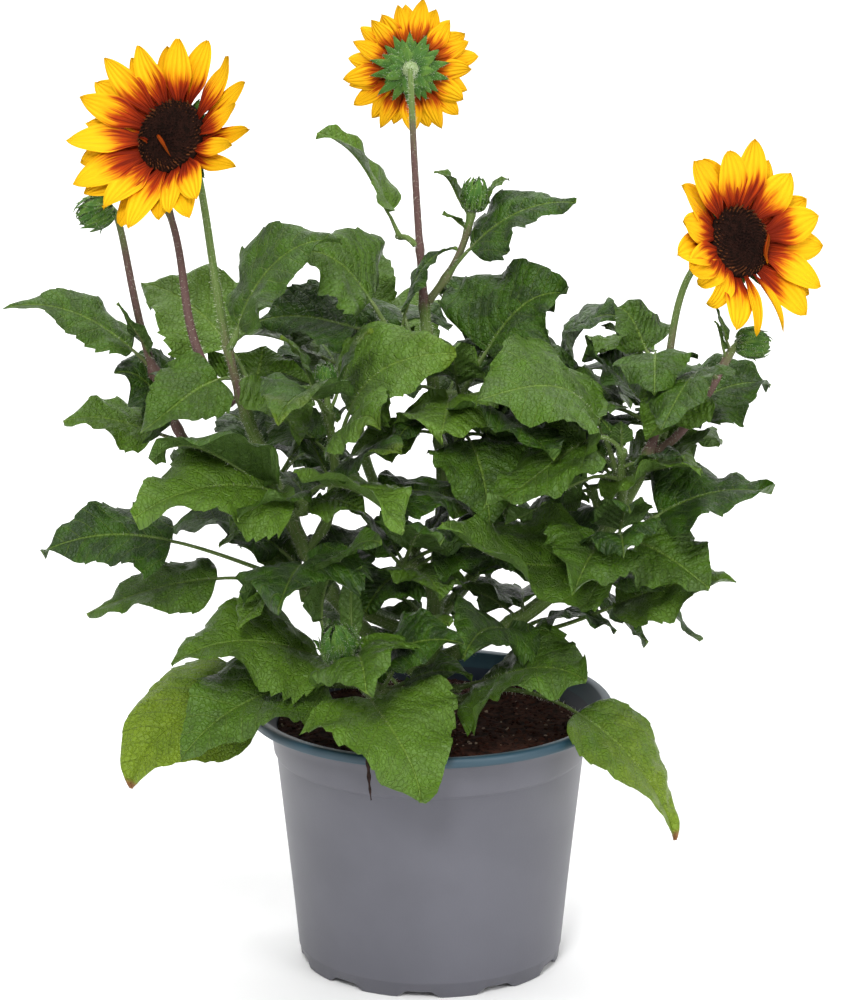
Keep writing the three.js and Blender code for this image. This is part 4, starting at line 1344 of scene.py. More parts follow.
@dataclass(frozen=True)
class PotFinish(Finish):
    """Moulded plastic: a grey wall and a teal lip, with the bore below the lip painted dark navy as painted
    shade.
    """

    wall: Triple = (0.082, 0.082, 0.099)
    lip: Triple = (0.015, 0.046, 0.068)
    # Dark navy of the bore: painted shade on the pot's inner wall below the lip.
    shaded_bore: Triple = (0.012, 0.020, 0.040)
    paler: float = 1.16
    depth: float = 0.00004

    def paint(self, nodes: Nodes) -> Coat:
        """Gives the colour, the relief and the relief's depth in metres.

        Args:
            nodes: The builder of the finish's tree.

        Returns:
            The three.
        """
        shaded_bore, lip, _ = nodes.attribute("part")
        cloud = nodes.noise(nodes.position, 18.0, 4.0)
        grain = nodes.noise(nodes.position, 900.0)
        wall = nodes.blend(self.wall, tuple(c * self.paler for c in self.wall), nodes.ramp(cloud, 0.3, 0.7))
        # The bore's mask takes the dark navy: painted shade inside the pot.
        colour = nodes.blend(wall, self.shaded_bore, shaded_bore.over(0.5))
        return nodes.blend(colour, self.lip, lip.over(0.5)), grain, self.depth


LEAF = LeafFinish("leaf_green", 0.40, 0.26)
STEM = StemFinish("stem_green", 0.55, 0.2)
PETAL = PetalFinish("petal_yellow", 0.6, 0.05)
BRACT = BractFinish("bract_green", 0.6, 0.15)
HAIR = PlainFinish("pale_hair", 0.7, 0.3, first=(0.62, 0.66, 0.50), second=(0.80, 0.82, 0.70))
KNOB = PlainFinish("pale_down", 0.8, 0.1, first=(0.26, 0.33, 0.17), second=(0.17, 0.24, 0.09), grain=700.0)
DISC = PlainFinish("disc_dark", 0.9, 0.05, first=(0.006, 0.003, 0.002), second=(0.016, 0.006, 0.004))
FLORET = SpreadFinish("floret_brown", 0.85, 0.08, low=(0.006, 0.002, 0.002), middle=(0.022, 0.007, 0.004),
                      high=(0.130, 0.042, 0.012), step=(0.70, 1.05))
CRUMB = SpreadFinish("crumb_brown", 0.9, 0.08, low=(0.016, 0.006, 0.004), middle=(0.060, 0.022, 0.014),
                     high=(0.260, 0.200, 0.150), step=(0.90, 0.97))
SOIL = PlainFinish("soil_brown", 0.95, 0.08, first=(0.014, 0.006, 0.004), second=(0.048, 0.019, 0.012),
                   grain=260.0, depth=0.0012)
PLASTIC = PotFinish("pot_plastic", 0.45, 0.5)
WITHERED = PlainFinish("withered_brown", 0.85, 0.2, first=(0.010, 0.005, 0.004),
                       second=(0.032, 0.016, 0.012))
PALE_FLOOR = PlainFinish("pale_floor", 0.9, 0.1, first=(0.86, 0.86, 0.86), second=(0.84, 0.84, 0.84),
                         grain=3.0, depth=0.0)


# Pieces


def register(piece: Object, nodes: Iterable[str] = ()) -> Object:
    """Joins a piece to the frame.

    Args:
        piece: The finished piece.
        nodes: The solids for which it stands.

    Returns:
        The piece.
    """
    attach(piece, "root")
    if nodes:
        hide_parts(*nodes)
    log.info("%s: %d faces", piece.name, len(piece.data.polygons))
    return piece


class Grower:
    """A small Geometry Nodes tree that grows repeated parts and leaves a plain mesh."""

    def __init__(self, name: str, sizes: dict[str, float | int]) -> None:
        """Starts the tree.

        Args:
            name: The tree's name.
            sizes: Its named inputs with their values.
        """
        self.tree = bpy.data.node_groups.new(name, "GeometryNodeTree")
        self.tree.interface.new_socket("Geometry", in_out="INPUT", socket_type="NodeSocketGeometry")
        self.tree.interface.new_socket("Geometry", in_out="OUTPUT", socket_type="NodeSocketGeometry")
        self.settings = {}
        for label, value in sizes.items():
            kind = "NodeSocketInt" if isinstance(value, int) else "NodeSocketFloat"
            socket = self.tree.interface.new_socket(label, in_out="INPUT", socket_type=kind)
            self.settings[socket.identifier] = value
        self.nodes = Nodes(self.tree)
        inputs = self.nodes.add("NodeGroupInput").outputs
        self.inputs = {socket.name: Value(self.nodes, socket) for socket in inputs if socket.name}

    def random(self, low: object, high: object, seed: int) -> Value:
        """Gives a seeded random value, or three of them where the limits are triples."""
        triple = isinstance(low, tuple)
        first = 0 if triple else 2
        return self.nodes.value("FunctionNodeRandomValue", {first: low, first + 1: high, "Seed": seed},
                                0 if triple else 1, data_type="FLOAT_VECTOR" if triple else "FLOAT")

    def tinted(self, points: Value, tint: Value) -> Value:
        """Stores each point's tint."""
        named = {0: points, "Name": "tint", "Value": tint}
        return self.nodes.value("GeometryNodeStoreNamedAttribute", named, data_type="FLOAT", domain="POINT")

    def grow(self, name: str, base: bpy.types.Mesh, points: Value, part: Value, turn: Value, size: Value,
             finish: Finish) -> Object:
        """Puts a part on every point of a mesh and keeps what it grows as a plain mesh.

        Args:
            name: The new piece's name.
            base: The mesh that feeds the tree.
            points: The tree's points.
            part: The part's mesh.
            turn: Each part's rotation.
            size: Each part's scale.
            finish: What the parts are made of.

        Returns:
            The new piece.
        """
        grown = self.nodes.value("GeometryNodeInstanceOnPoints", {"Points": points, "Instance": part,
                                                                  "Rotation": turn, "Scale": size})
        realised = self.nodes.value("GeometryNodeRealizeInstances", {0: grown})
        dressed = self.nodes.value("GeometryNodeSetMaterial", {0: realised, "Material": finish.material()})
        self.nodes.add("NodeGroupOutput", {0: dressed})
        holder = bpy.data.objects.new(name, base)
        bpy.context.scene.collection.objects.link(holder)
        modifier = holder.modifiers.new("grow", "NODES")
        modifier.node_group = self.tree
        for identifier, value in self.settings.items():
            modifier[identifier] = value
        depsgraph = bpy.context.evaluated_depsgraph_get()
        mesh = bpy.data.meshes.new_from_object(holder.evaluated_get(depsgraph), depsgraph=depsgraph,
                                               preserve_all_data_layers=True)
        holder.modifiers.clear()
        holder.data = mesh
        mesh.name = name
        if not mesh.materials:
            mesh.materials.append(finish.material())
        return holder


@dataclass(frozen=True)
class Hairs:
    """Short straight hairs: how many to a square metre, their length and their radius in metres."""

    density: float
    length: float
    girth: float
    lean: float = 0.6
    spin: float = 6.3
    sizes: Pair = (0.45, 1.25)

    def grow(self, base: Object, seed: int, name: str = "") -> Object:
        """Grows the hairs over a mesh.

        Args:
            base: The object that carries the hairs.
            seed: Which spread of hairs.
            name: The new piece's name, where it isn't that of the base with hairs added.

        Returns:
            The hairs.
        """
        name = name or f"{base.name}_hairs"
        grower = Grower(name, {"Density": self.density, "Length": self.length, "Girth": self.girth})
        nodes, inputs = grower.nodes, grower.inputs
        spread = nodes.add("GeometryNodeDistributePointsOnFaces", {
            "Mesh": inputs["Geometry"], "Density": inputs["Density"], "Seed": seed}).outputs
        hair = nodes.value("GeometryNodeMeshCone", {
            "Vertices": 3, "Radius Top": 0.0, "Radius Bottom": inputs["Girth"], "Depth": inputs["Length"]},
            "Mesh", fill_type="NGON")
        lean, spin = self.lean, self.spin
        turn = nodes.value("FunctionNodeRotateRotation", {
            0: spread["Rotation"], 1: grower.random((-lean, -lean, 0.0), (lean, lean, spin), seed + 1)},
            rotation_space="LOCAL")
        size = grower.random(*self.sizes, seed + 2)
        return grower.grow(name, base.data, spread["Points"], hair, turn, size, HAIR)


@dataclass(frozen=True)
class Leaves:
    """Leaf blades: their teeth, veins, waves and thickness, in millimetres or as shares."""

    columns: int = 19
    few_columns: int = 11
    narrow: float = 26.0
    thick: float = 0.6
    tooth: float = 0.085
    tooth_gap: float = 6.8
    tooth_steps: tuple[float, ...] = (0.0, 0.4, 0.8, 0.95)
    teeth: tuple[int, int] = (4, 15)
    foot_rows: Triple = (0.004, 0.012, 0.028)
    tip_rows: Pair = (0.985, 1.0)
    laterals: float = 8.0
    droop: float = 0.9
    wave: float = 0.165
    waves: Pair = (1.4, 3.4)
    quilt: float = 0.8
    pucker: float = 0.16
    puckers: int = 6
    pucker_pitch: Pair = (0.36, 0.75)
    groove: float = 0.45
    groove_width: float = 1.3
    twist: float = 0.2

    def half_widths(self, share: Array) -> Array:
        """Gives the half width along a blade, as shares of the widest."""
        return np.maximum(np.sin(math.pi * np.clip(share, 0, 1) ** 0.5), 0) ** 0.85

    def surface(self, stem: Stem, leaf: LeafSpec, age: float, rng: Rng) -> Surface:
        """Makes one blade.

        Args:
            stem: The stem that carries the leaf.
            leaf: The leaf's plan.
            age: From 0, fresh, to 1, old.
            rng: The leaf's own random numbers.

        Returns:
            The closed blade.
        """
        spine = leaf_spine(stem, leaf)
        length = spine.length * (1 - leaf.bare)
        count = int(np.clip(round(length / self.tooth_gap), *self.teeth))
        steps = (np.arange(count)[:, None] + np.array(self.tooth_steps)).ravel() / count
        blade = np.unique(np.concatenate([self.foot_rows, steps, self.tip_rows]))
        columns = self.columns if leaf.width > self.narrow else self.few_columns
        line = np.linspace(-1, 1, columns)
        across = np.sign(line) * np.abs(line) ** 0.9
        size = 1 + self.tooth * (1 - 0.8 * age) * rng.uniform(0.1, 1.5, (count + 1, 2))
        saw = (blade * count) % 1.0
        which = np.minimum((blade * count).astype(int), count)
        fade = smoothstep(0.06, 0.2, blade) * (1 - 0.5 * blade)
        teeth = np.stack([1 + (size[which, hand] - 1) * fade * (saw * 1.6 - 0.6) for hand in (0, 1)], -1)
        u = np.broadcast_to(across, (len(blade), columns))
        spread = 1 + (np.take_along_axis(teeth, (u > 0).astype(int), 1) - 1) * np.abs(u) ** 5
        half = leaf.width / 2 * np.maximum(self.half_widths(blade), 0.02)[:, None] * spread
        raised = self._relief(leaf, blade, u, half, length, age, rng)
        values = self._values(leaf, blade, half, length, age, rng)
        return blade_surface(spine, lerp(leaf.bare, 1, blade), across, half, raised,
                             direction(leaf.heading + 90), leaf.roll, self.thick, values)

    def _rank(self, blade: Array, u: Array, off: Array, width: float, length: float) -> Array:
        """Counts the side veins passed at each place; a vein runs where this is whole."""
        climb = 0.75 * off + 0.5 * off**2 / width
        return self.laterals * (blade[:, None] * length - climb) / length + np.where(u > 0, 0.5, 0.05) + 20

    def _relief(self, leaf: LeafSpec, blade: Array, u: Array, half: Array, length: float, age: float,
                rng: Rng) -> Array:
        """Folds, waves, puckers and quilts a blade.

        Args:
            leaf: The leaf's plan.
            blade: Places along it.
            u: Places across it, from -1 to 1.
            half: Half width at each place.
            length: The blade's length.
            age: From 0, fresh, to 1, old.
            rng: The leaf's own random numbers.

        Returns:
            How far each place stands over the midrib's plane, in millimetres.
        """
        off = np.abs(u) * half
        widest = leaf.width / 2
        wave = self.wave * (1 - 0.8 * age) * widest
        lift = math.tan(math.radians(leaf.fold))
        raised = off * lift - self.droop * rng.uniform(0.3, 1.9) * lift * off**2 / widest
        raised = raised + rng.normal(0, self.twist) * u * half * blade[:, None]
        for _ in range(self.puckers):
            way, pitch = rng.uniform(0, math.pi), rng.uniform(*self.pucker_pitch)
            start = rng.uniform(0, 6.3)
            place = u * half * math.cos(way) + blade[:, None] * length * math.sin(way)
            raised = raised + self.pucker / pitch * np.sin(pitch * place + start) * smoothstep(0, 7, off)
        phases = rng.uniform(0, 2 * math.pi, (2, 2))
        slow, quick = (2 * math.pi * count * blade for count in self.waves)
        for side, (first, second) in zip((1, -1), phases):
            ripple = np.sin(slow + first) + 0.5 * np.sin(quick + second)
            raised = raised + np.where(u * side > 0, 1, 0) * (wave * ripple)[:, None] * np.abs(u) ** 1.7
        rank = self._rank(blade, u, off, leaf.width, length)
        dent = 0.5 - 0.5 * np.cos(2 * math.pi * (rank + 0.5))
        fade = smoothstep(0.6, 4.0, off) * (1 - np.abs(u) ** 6)
        raised = raised + self.quilt * (leaf.width / 60) * (1 - dent) * fade
        return raised - self.groove * np.exp(-((off / self.groove_width) ** 2))

    def _values(self, leaf: LeafSpec, blade: Array, half: Array, length: float, age: float,
                rng: Rng) -> Callable[[Array, Array], dict[str, Array]]:
        """Gives the blade's place, kind and size at each of its points.

        Args:
            leaf: The leaf's plan.
            blade: Places along it.
            half: Half width at each place.
            length: The blade's length.
            age: From 0, fresh, to 1, old.
            rng: The leaf's own random numbers.

        Returns:
            A function of the places along and across.
        """
        tone, seed = rng.uniform(0, 1), rng.uniform(0, 100)
        widest = leaf.width / 2

        def values(_: Array, u: Array) -> dict[str, Array]:
            """Gives the named values at places across."""
            rank = self._rank(blade, u, np.abs(u) * half, leaf.width, length)
            along = np.broadcast_to(blade[:, None], u.shape)
            return {"place": np.stack([u * half / widest, along, rank + 0.5], -1),
                    "kind": np.array([0.0, age, tone]), "size": np.array([widest, length, seed])}

        return values


@dataclass(frozen=True)
class Foliage:
    """The leaves of one region of the plant."""

    region: Region
    blades: Leaves = Leaves()
    age_spread: float = 0.05

    def build(self, plant: Plant) -> None:
        """Makes the region's leaves as one piece, in place of its sprays' solids.

        Args:
            plant: The grown plan.
        """
        sheaf = Sheaf()
        names = []
        for number, spray in enumerate(SPRAYS):
            if spray.region is not self.region:
                continue
            names.append(spray.name)
            for index, leaf in enumerate(plant.leaves[spray.name]):
                rng = np.random.default_rng([SEED, number, index])
                age = min(1.0, max(0.0, spray.age + rng.normal(0, self.age_spread)))
                sheaf.add(self.blades.surface(plant.sprays[spray.name], leaf, age, rng))
        register(sheaf.build(f"{self.region.value}_leaves", LEAF), names)


@dataclass(frozen=True)
class Stems:
    """Ridged stems and leaf stalks, with swollen joints and fine hairs."""

    ridge: float = 0.05
    ridges: int = 5
    step: float = 2.6
    swell: float = 0.28
    swell_reach: float = 3.2
    flare_reach: float = 5.0
    taper: float = 0.26
    limb_sides: int = 15
    twig_sides: int = 10
    limb_root: float = 1.2
    twig_root: float = 3.2
    stalk_girth: float = 0.85
    stalk_gain: float = 0.0105
    stalk_end: float = 0.82
    stalk_step: float = 3.5
    stalk_sides: int = 8
    stalk_blush: float = 0.6
    hairs: Hairs = Hairs(420000.0, 0.0018, 0.00007)
    twig_hairs: Hairs = Hairs(294000.0, 0.0018, 0.00007)

    def _radius(self, spec: StemSpec, length: float, joints: list[float]) -> Profile:
        """Gives a stem's radius along it.

        Args:
            spec: The stem's plan.
            length: Its length.
            joints: Shares of its length where something leaves it.

        Returns:
            A function of shares of the length.
        """
        def radius(shares: Array) -> Array:
            """Gives the radius at shares of the length."""
            size = lerp(*spec.thick, shares) + spec.flare * np.exp(-shares * length / self.flare_reach)
            if spec.bloom:
                size = size * (1 - self.taper * smoothstep(0, 0.2, shares))
            for joint in joints:
                near = np.exp(-(((shares - joint) * length) / self.swell_reach) ** 2)
                size = size * (1 + self.swell * near)
            return size
        return radius

    def tube(self, stem: Stem, sides: int, joints: list[float], blush: Profile,
             root: float) -> Surface:
        """Makes one stem.

        Args:
            stem: The grown stem.
            sides: Points round it.
            joints: Shares of its length where something leaves it.
            blush: Gives how purple it is at shares of its length.
            root: How far its foot runs into its parent, in millimetres.

        Returns:
            The stem's surface.
        """
        length = stem.curve.length
        shares = np.linspace(0, 1, max(6, int(length / self.step)))
        return tube_surface(stem.curve, self._radius(stem.spec, length, joints), sides, shares, self.ridge,
                            self.ridges, blush, length, root)

    def stalk(self, stem: Stem, leaf: LeafSpec, blush: float) -> Surface:
        """Makes a leaf's stalk, which runs on beneath the blade as its rib.

        Args:
            stem: The stem that carries the leaf.
            leaf: The leaf's plan.
            blush: How purple the stalk is.

        Returns:
            The stalk's surface.
        """
        spine = leaf_spine(stem, leaf)
        girth = self.stalk_girth + leaf.width * self.stalk_gain
        end = lerp(leaf.bare, 1, self.stalk_end)

        def radius(shares: Array) -> Array:
            """Gives the radius at shares of the stalk."""
            place = shares * end
            stalk = girth * (1 - 0.35 * np.minimum(place / leaf.bare, 1))
            rib = np.clip((end - place) / (end - leaf.bare), 0, 1)
            foot = 0.35 * girth * np.exp(-place * spine.length / 2.5)
            return np.where(place < leaf.bare, stalk, stalk * (0.12 + 0.88 * rib**1.3)) + foot

        shares = np.linspace(0, 1, max(10, int(spine.length * end / self.stalk_step)))
        part = Part(spine, end, leaf.bare, leaf.roll, direction(leaf.heading + 90))
        return tube_surface(part, radius, self.stalk_sides, shares, 0.04, 3, lambda s: blush + 0 * s,
                            spine.length, 0.0)

    def build(self, plant: Plant) -> None:
        """Makes the limbs, the side stems with the leaf stalks, and their hairs.

        Args:
            plant: The grown plan.
        """
        limbs, twigs = Sheaf(), Sheaf()
        for name, stem in plant.limbs.items():
            joints = [s.stem.at for s in SPRAYS if s.stem.on == name and s.stem.at < 1]
            joints += [s.at for s in LIMBS if s.on == name and s.at < 1]
            limbs.add(self.tube(stem, self.limb_sides, joints, stem_blush(name), self.limb_root))
        for spray in SPRAYS:
            stem, leaves = plant.sprays[spray.name], plant.leaves[spray.name]
            joints = [leaf.at for leaf in leaves]
            twigs.add(self.tube(stem, self.twig_sides, joints, twig_blush(spray.blush), self.twig_root))
            twigs.add(*(self.stalk(stem, leaf, spray.blush * self.stalk_blush) for leaf in leaves))
        main = register(limbs.build("main_stems", STEM), plant.limbs)
        side = register(twigs.build("side_stems", STEM), [spray.name for spray in SPRAYS])
        register(self.hairs.grow(main, SEED))
        register(self.twig_hairs.grow(side, SEED + 1))


@dataclass(frozen=True)
class Head:
    """The frame of a bloom or a bud: its middle and the way it faces."""

    middle: Array
    facing: Array

    @property
    def across(self) -> Array:
        """The direction of angle 0 round the head."""
        axis = UP if abs(self.facing[2]) < 0.9 else RIGHT
        return unit(axis - self.facing * float(axis @ self.facing))

    def out(self, angle: float) -> Array:
        """Gives the direction at an angle round the head."""
        a = math.radians(angle)
        return self.across * math.cos(a) + np.cross(self.facing, self.across) * math.sin(a)

    def place(self, angle: float, radius: float, height: float) -> Array:
        """Gives the point at an angle, a radius and a height."""
        return self.middle + self.out(angle) * radius + self.facing * height

    def climb(self, angle: float, rise: float) -> Array:
        """Gives the direction outwards at an angle, raised by a rise in degrees."""
        e = math.radians(rise)
        return self.out(angle) * math.cos(e) + self.facing * math.sin(e)

    def blade(self, angle: float, foot: Pair, tip: Pair, leave: float, arrive: float, width: float,
              outline: Profile, relief: Callable[[Array, Array], Array], kind: Pair,
              grid: tuple[int, int], thick: float = 0.4, roll: float = 0.0, sweep: float = 0.0) -> Surface:
        """Makes a petal or a bract that leaves the head at an angle.

        Args:
            angle: Where it leaves, round the head.
            foot: Radius and height of its foot.
            tip: Radius and height of its tip.
            leave: How steeply its foot climbs outwards, in degrees.
            arrive: How steeply its tip climbs outwards, in degrees.
            width: Its widest, in millimetres.
            outline: Gives the half width along it, as shares of the widest.
            relief: Gives how far each point is raised, from the places along and across.
            kind: How far its flame reaches, and its own tone.
            grid: Rows and columns.
            thick: Its thickness in millimetres.
            roll: How far its left side is lifted, in degrees.
            sweep: How far its tip swings round the head, in degrees.

        Returns:
            The closed blade.
        """
        end = angle + sweep
        curve = Bend(self.place(angle, *foot), self.place(end, *tip), self.climb(angle, leave),
                     self.climb(end, arrive))
        shares = np.linspace(0, 1, grid[0])
        across = np.linspace(-1, 1, grid[1])
        u = np.broadcast_to(across, grid)
        s = np.broadcast_to(shares[:, None], grid)
        half = width / 2 * np.maximum(outline(shares), 0.02)[:, None] * np.ones_like(u)

        def values(along: Array, side: Array) -> dict[str, Array]:
            """Gives the named values at places along and across."""
            return {"place": np.stack([side, along, np.full_like(side, kind[1] * 50)], -1),
                    "kind": np.array([0.0, *kind])}

        return blade_surface(curve, shares, across, half, relief(s, u), self.out(angle + 90), roll, thick,
                             values)


def turned(head: Head, profile: list[Pair], sides: int) -> Surface:
    """Turns a profile of radii and heights round a head's axis; it starts and ends on the axis.

    Args:
        head: The frame.
        profile: Radii and heights in millimetres, from the lower pole to the upper.
        sides: Points round.

    Returns:
        The closed surface.
    """
    inner = profile[1:-1]
    angle = np.linspace(0, 2 * math.pi, sides, endpoint=False)
    other = np.cross(head.facing, head.across)
    spoke = np.cos(angle)[:, None] * head.across + np.sin(angle)[:, None] * other
    rings = [head.middle + spoke * r + head.facing * z for r, z in inner]
    poles = [head.middle + head.facing * profile[0][1], head.middle + head.facing * profile[-1][1]]
    points = np.concatenate([*rings, poles])
    around = np.arange(sides)
    after = (around + 1) % sides
    base, last = len(inner) * sides, (len(inner) - 1) * sides
    caps = np.concatenate([np.stack([np.full(sides, base), after, around], -1),
                           np.stack([np.full(sides, base + 1), last + around, last + after], -1)])
    return Surface(points * MM, grid_faces(len(inner), sides, closed=True), caps)


@dataclass(frozen=True)
class Curl:
    """A petal that doesn't lie with the others."""

    angle: float
    radius: float
    height: float
    width: float
    arrive: float
    leave: float = 20.0
    roll: float = 0.0
    foot: float = 0.9
    sweep: float = 0.0
    flame: float = 0.7


@dataclass(frozen=True)
class Bloom:
    """An open head: ray petals, florets on its disc, green bracts and a downy knob behind.

    Angles are in degrees round the head. Petals between the two angles of slim are narrow and
    swing round, and no petal grows at a gap. Heights are over the petals' feet.
    """

    spec: BloomSpec
    petals: int
    width: float
    flame: float
    pointed: float
    curls: tuple[Curl, ...] = ()
    florets: int = 340
    slim: Pair = (0.0, 0.0)
    gaps: tuple[float, ...] = ()
    slim_width: float = 0.62
    slim_rise: float = 24.0
    slim_sweep: float = 9.0
    back_row: float = 0.6
    bracts: int = 14
    bract_rows: int = 3
    bract_reach: Pair = (1.28, 1.62)
    bract_width: float = 0.5
    dome: float = 3.6
    disc_sides: int = 40
    knob_sides: int = 20
    floret_length: float = 1.9
    floret_radii: Pair = (0.50, 0.22)
    floret_lean: float = 0.55
    bract_hairs: Hairs = Hairs(500000.0, 0.0014, 0.00004)
    knob_hairs: Hairs = Hairs(2600000.0, 0.0016, 0.00004)
    CUP = ((0, -11.6), (2.4, -11.6), (4.4, -10.6))
    KNOB = ((0, -14.2), (1.7, -14.0), (3.0, -13.2), (4.0, -12.2), (4.4, -11.0), (3.6, -9.6), (0, -9.2))

    @property
    def head(self) -> Head:
        """The bloom's frame."""
        return Head(np.array(self.spec.at, float), direction(*self.spec.facing))

    def _petal_outline(self, rng: Rng) -> Profile:
        """Gives the half width along one petal.

        Args:
            rng: The bloom's random numbers.

        Returns:
            A function of the places along.
        """
        point = np.clip(self.pointed * rng.uniform(0.7, 1.2), 0, 1)
        peak, power = lerp(5.0, 2.8, point), lerp(0.45, 0.85, point)
        return lambda s: (0.34 + 0.66 * smoothstep(0, 0.48, s)) * np.maximum(1 - s**peak, 0) ** power

    def _petal_relief(self, rng: Rng) -> Callable[[Array, Array], Array]:
        """Gives the ribs, the channel and the waves of one petal, in millimetres."""
        channel, twist, first = rng.uniform(0.3, 1.4), rng.normal(0, 0.9), rng.uniform(0, 6.3)
        return lambda s, u: (channel * u**2 + 0.16 * np.cos(3 * math.pi * u) + twist * u * s
                             + 0.6 * s * np.sin(5 * s + first) * np.abs(u))

    def _is_free(self, angle: float) -> bool:
        """Says whether a petal grows at an angle: not at a gap, nor where a long curl does.

        Args:
            angle: The angle round the head.

        Returns:
            True where one grows.
        """
        near = 150 / self.petals
        long_curls = (curl.angle for curl in self.curls if curl.radius > self.spec.disc)
        if any(abs((other - angle + 180) % 360 - 180) < near for other in long_curls):
            return False
        return all(abs(gap - angle) >= 180 / self.petals for gap in self.gaps)

    def _rays(self, head: Head, rng: Rng) -> Iterable[Surface]:
        """Makes the ray petals in two rows, then those that curl.

        Args:
            head: The bloom's frame.
            rng: The bloom's random numbers.

        Yields:
            The petals.
        """
        size = self.spec
        rise = math.tan(math.radians(size.cup))
        for i in range(self.petals):
            row = i % 2
            angle = 360 / self.petals * (i + rng.uniform(-0.22, 0.22))
            if not self._is_free(angle):
                continue
            slim = self.slim[0] < angle < self.slim[1]
            outer = size.radius * rng.uniform(0.85, 1.0)
            height = (outer - size.disc) * rise * (self.back_row if row else 1.05) + rng.normal(0, 1.0)
            steep = math.degrees(math.atan2(height, outer - size.disc))
            yield head.blade(
                angle, (size.disc - 1.8, 0.4 - 2 * row), (outer, height), steep + rng.uniform(4, 16),
                steep + rng.uniform(-26, 4) + (self.slim_rise if slim else 0),
                size.radius * self.width * rng.uniform(0.88, 1.12) * (self.slim_width if slim else 1),
                self._petal_outline(rng), self._petal_relief(rng),
                (self.flame * rng.uniform(0.85, 1.15), rng.uniform(0, 1)), (20, 9),
                roll=rng.normal(0, 7), sweep=rng.normal(self.slim_sweep if slim else 0, 2.2))
        for curl in self.curls:
            yield head.blade(
                curl.angle, (size.disc * curl.foot, 1.0), (curl.radius, curl.height), curl.leave,
                curl.arrive, curl.width, self._petal_outline(rng),
                lambda s, u: 2.2 * u**2 * np.sin(math.pi * s),
                (self.flame * curl.flame, rng.uniform(0, 1)), (24, 9), roll=curl.roll, sweep=curl.sweep)

    def _bracts(self, head: Head, rng: Rng) -> Iterable[Surface]:
        """Makes the rows of green bracts behind the petals, the longest next to them.

        Args:
            head: The bloom's frame.
            rng: The bloom's random numbers.

        Yields:
            The bracts.
        """
        disc = self.spec.disc
        for i in range(self.bract_rows * self.bracts):
            row = i % self.bract_rows
            reach = disc * rng.uniform(*self.bract_reach) * (1.0 - 0.17 * row)
            yield head.blade(
                360 / self.bracts * (i / self.bract_rows + rng.uniform(-0.2, 0.2)),
                (disc * 0.2, -9.8 - 0.7 * row), (reach, rng.uniform(-6.5, -3.5) - 2.6 * row),
                -6 - 4 * row, rng.uniform(-10, 22), disc * self.bract_width, bract_outline,
                lambda s, u: 0.6 * u**2 * disc / 19, (0.0, rng.uniform(0, 1)), (12, 7), thick=0.6)

    def _disc(self, head: Head) -> Surface:
        """Makes the domed disc and the cup behind it.

        Args:
            head: The bloom's frame.

        Returns:
            The closed surface.
        """
        disc = self.spec.disc
        dome = [(disc * math.cos(t), 0.6 + self.dome * math.sin(t)) for t in np.linspace(0.15, 1.45, 8)]
        return turned(head, [*self.CUP, (disc * 0.5, -8.4), (disc * 0.88, -4.6), (disc, -1.5), *dome,
                             (0, 0.6 + self.dome)], self.disc_sides)

    def _florets(self, head: Head, name: str, seed: int) -> Object:
        """Grows the florets along a sunflower's spiral over the disc.

        Args:
            head: The bloom's frame.
            name: The new piece's name.
            seed: Which spread of sizes and tilts.

        Returns:
            The florets.
        """
        grower = Grower(name, {"Count": self.florets, "Disc Radius": self.spec.disc * 0.97 * MM,
                               "Dome Height": 3.4 * MM})
        nodes, inputs = grower.nodes, grower.inputs
        index = nodes.value("GeometryNodeInputIndex")
        share = index / inputs["Count"]
        out = nodes.math("SQRT", share)
        radius = out * inputs["Disc Radius"]
        angle = index * math.radians(GOLDEN_TURN)
        cosine, sine = nodes.math("COSINE", angle), nodes.math("SINE", angle)
        bulge = (1.0 - share) * inputs["Dome Height"] + 0.7 * MM
        points = nodes.value("GeometryNodePoints", {"Count": inputs["Count"]})
        moved = nodes.value("GeometryNodeSetPosition", {
            0: points, "Position": nodes.vector(cosine * radius, sine * radius, bulge)})
        foot, top = self.floret_radii
        floret = nodes.value("GeometryNodeMeshCone", {
            "Vertices": 5, "Radius Top": top * MM, "Radius Bottom": foot * MM,
            "Depth": self.floret_length * MM}, "Mesh", fill_type="NGON")
        lean = nodes.vector(sine * (out * -self.floret_lean), cosine * (out * self.floret_lean), angle)
        turn = nodes.value("FunctionNodeEulerToRotation", {0: lean})
        size = grower.random(0.75, 1.2, seed + 1) * nodes.ramp(out, 0.55, 0.95, 0.8, 1.3)
        tinted = grower.tinted(moved, out * grower.random(0.72, 1.12, seed))
        piece = grower.grow(name, bpy.data.meshes.new(name), tinted, floret, turn, size, FLORET)
        axes = Matrix((head.across, np.cross(head.facing, head.across), head.facing)).transposed().to_4x4()
        axes.translation = Vector(head.middle * MM)
        piece.data.transform(axes)
        return piece

    def build(self, number: int) -> None:
        """Makes the bloom's pieces in place of its solid.

        Args:
            number: Which bloom, for its random numbers.
        """
        rng = np.random.default_rng([SEED, 200, number])
        head, name = self.head, self.spec.name
        register(Sheaf(*self._rays(head, rng)).build(f"{name}_petals", PETAL), [name])
        register(Sheaf(self._disc(head)).build(f"{name}_disc", DISC), [name])
        register(self._florets(head, f"{name}_florets", SEED + 10 * number), [name])
        bracts = Sheaf(*self._bracts(head, rng)).build(f"{name}_bracts", BRACT)
        register(bracts, [name])
        register(self.bract_hairs.grow(bracts, SEED + number, f"{name}_bract_hairs"))
        knob = Sheaf(turned(head, self.KNOB, self.knob_sides)).build(f"{name}_knob", KNOB)
        register(knob, [name])
        register(self.knob_hairs.grow(knob, SEED + 5 + number))


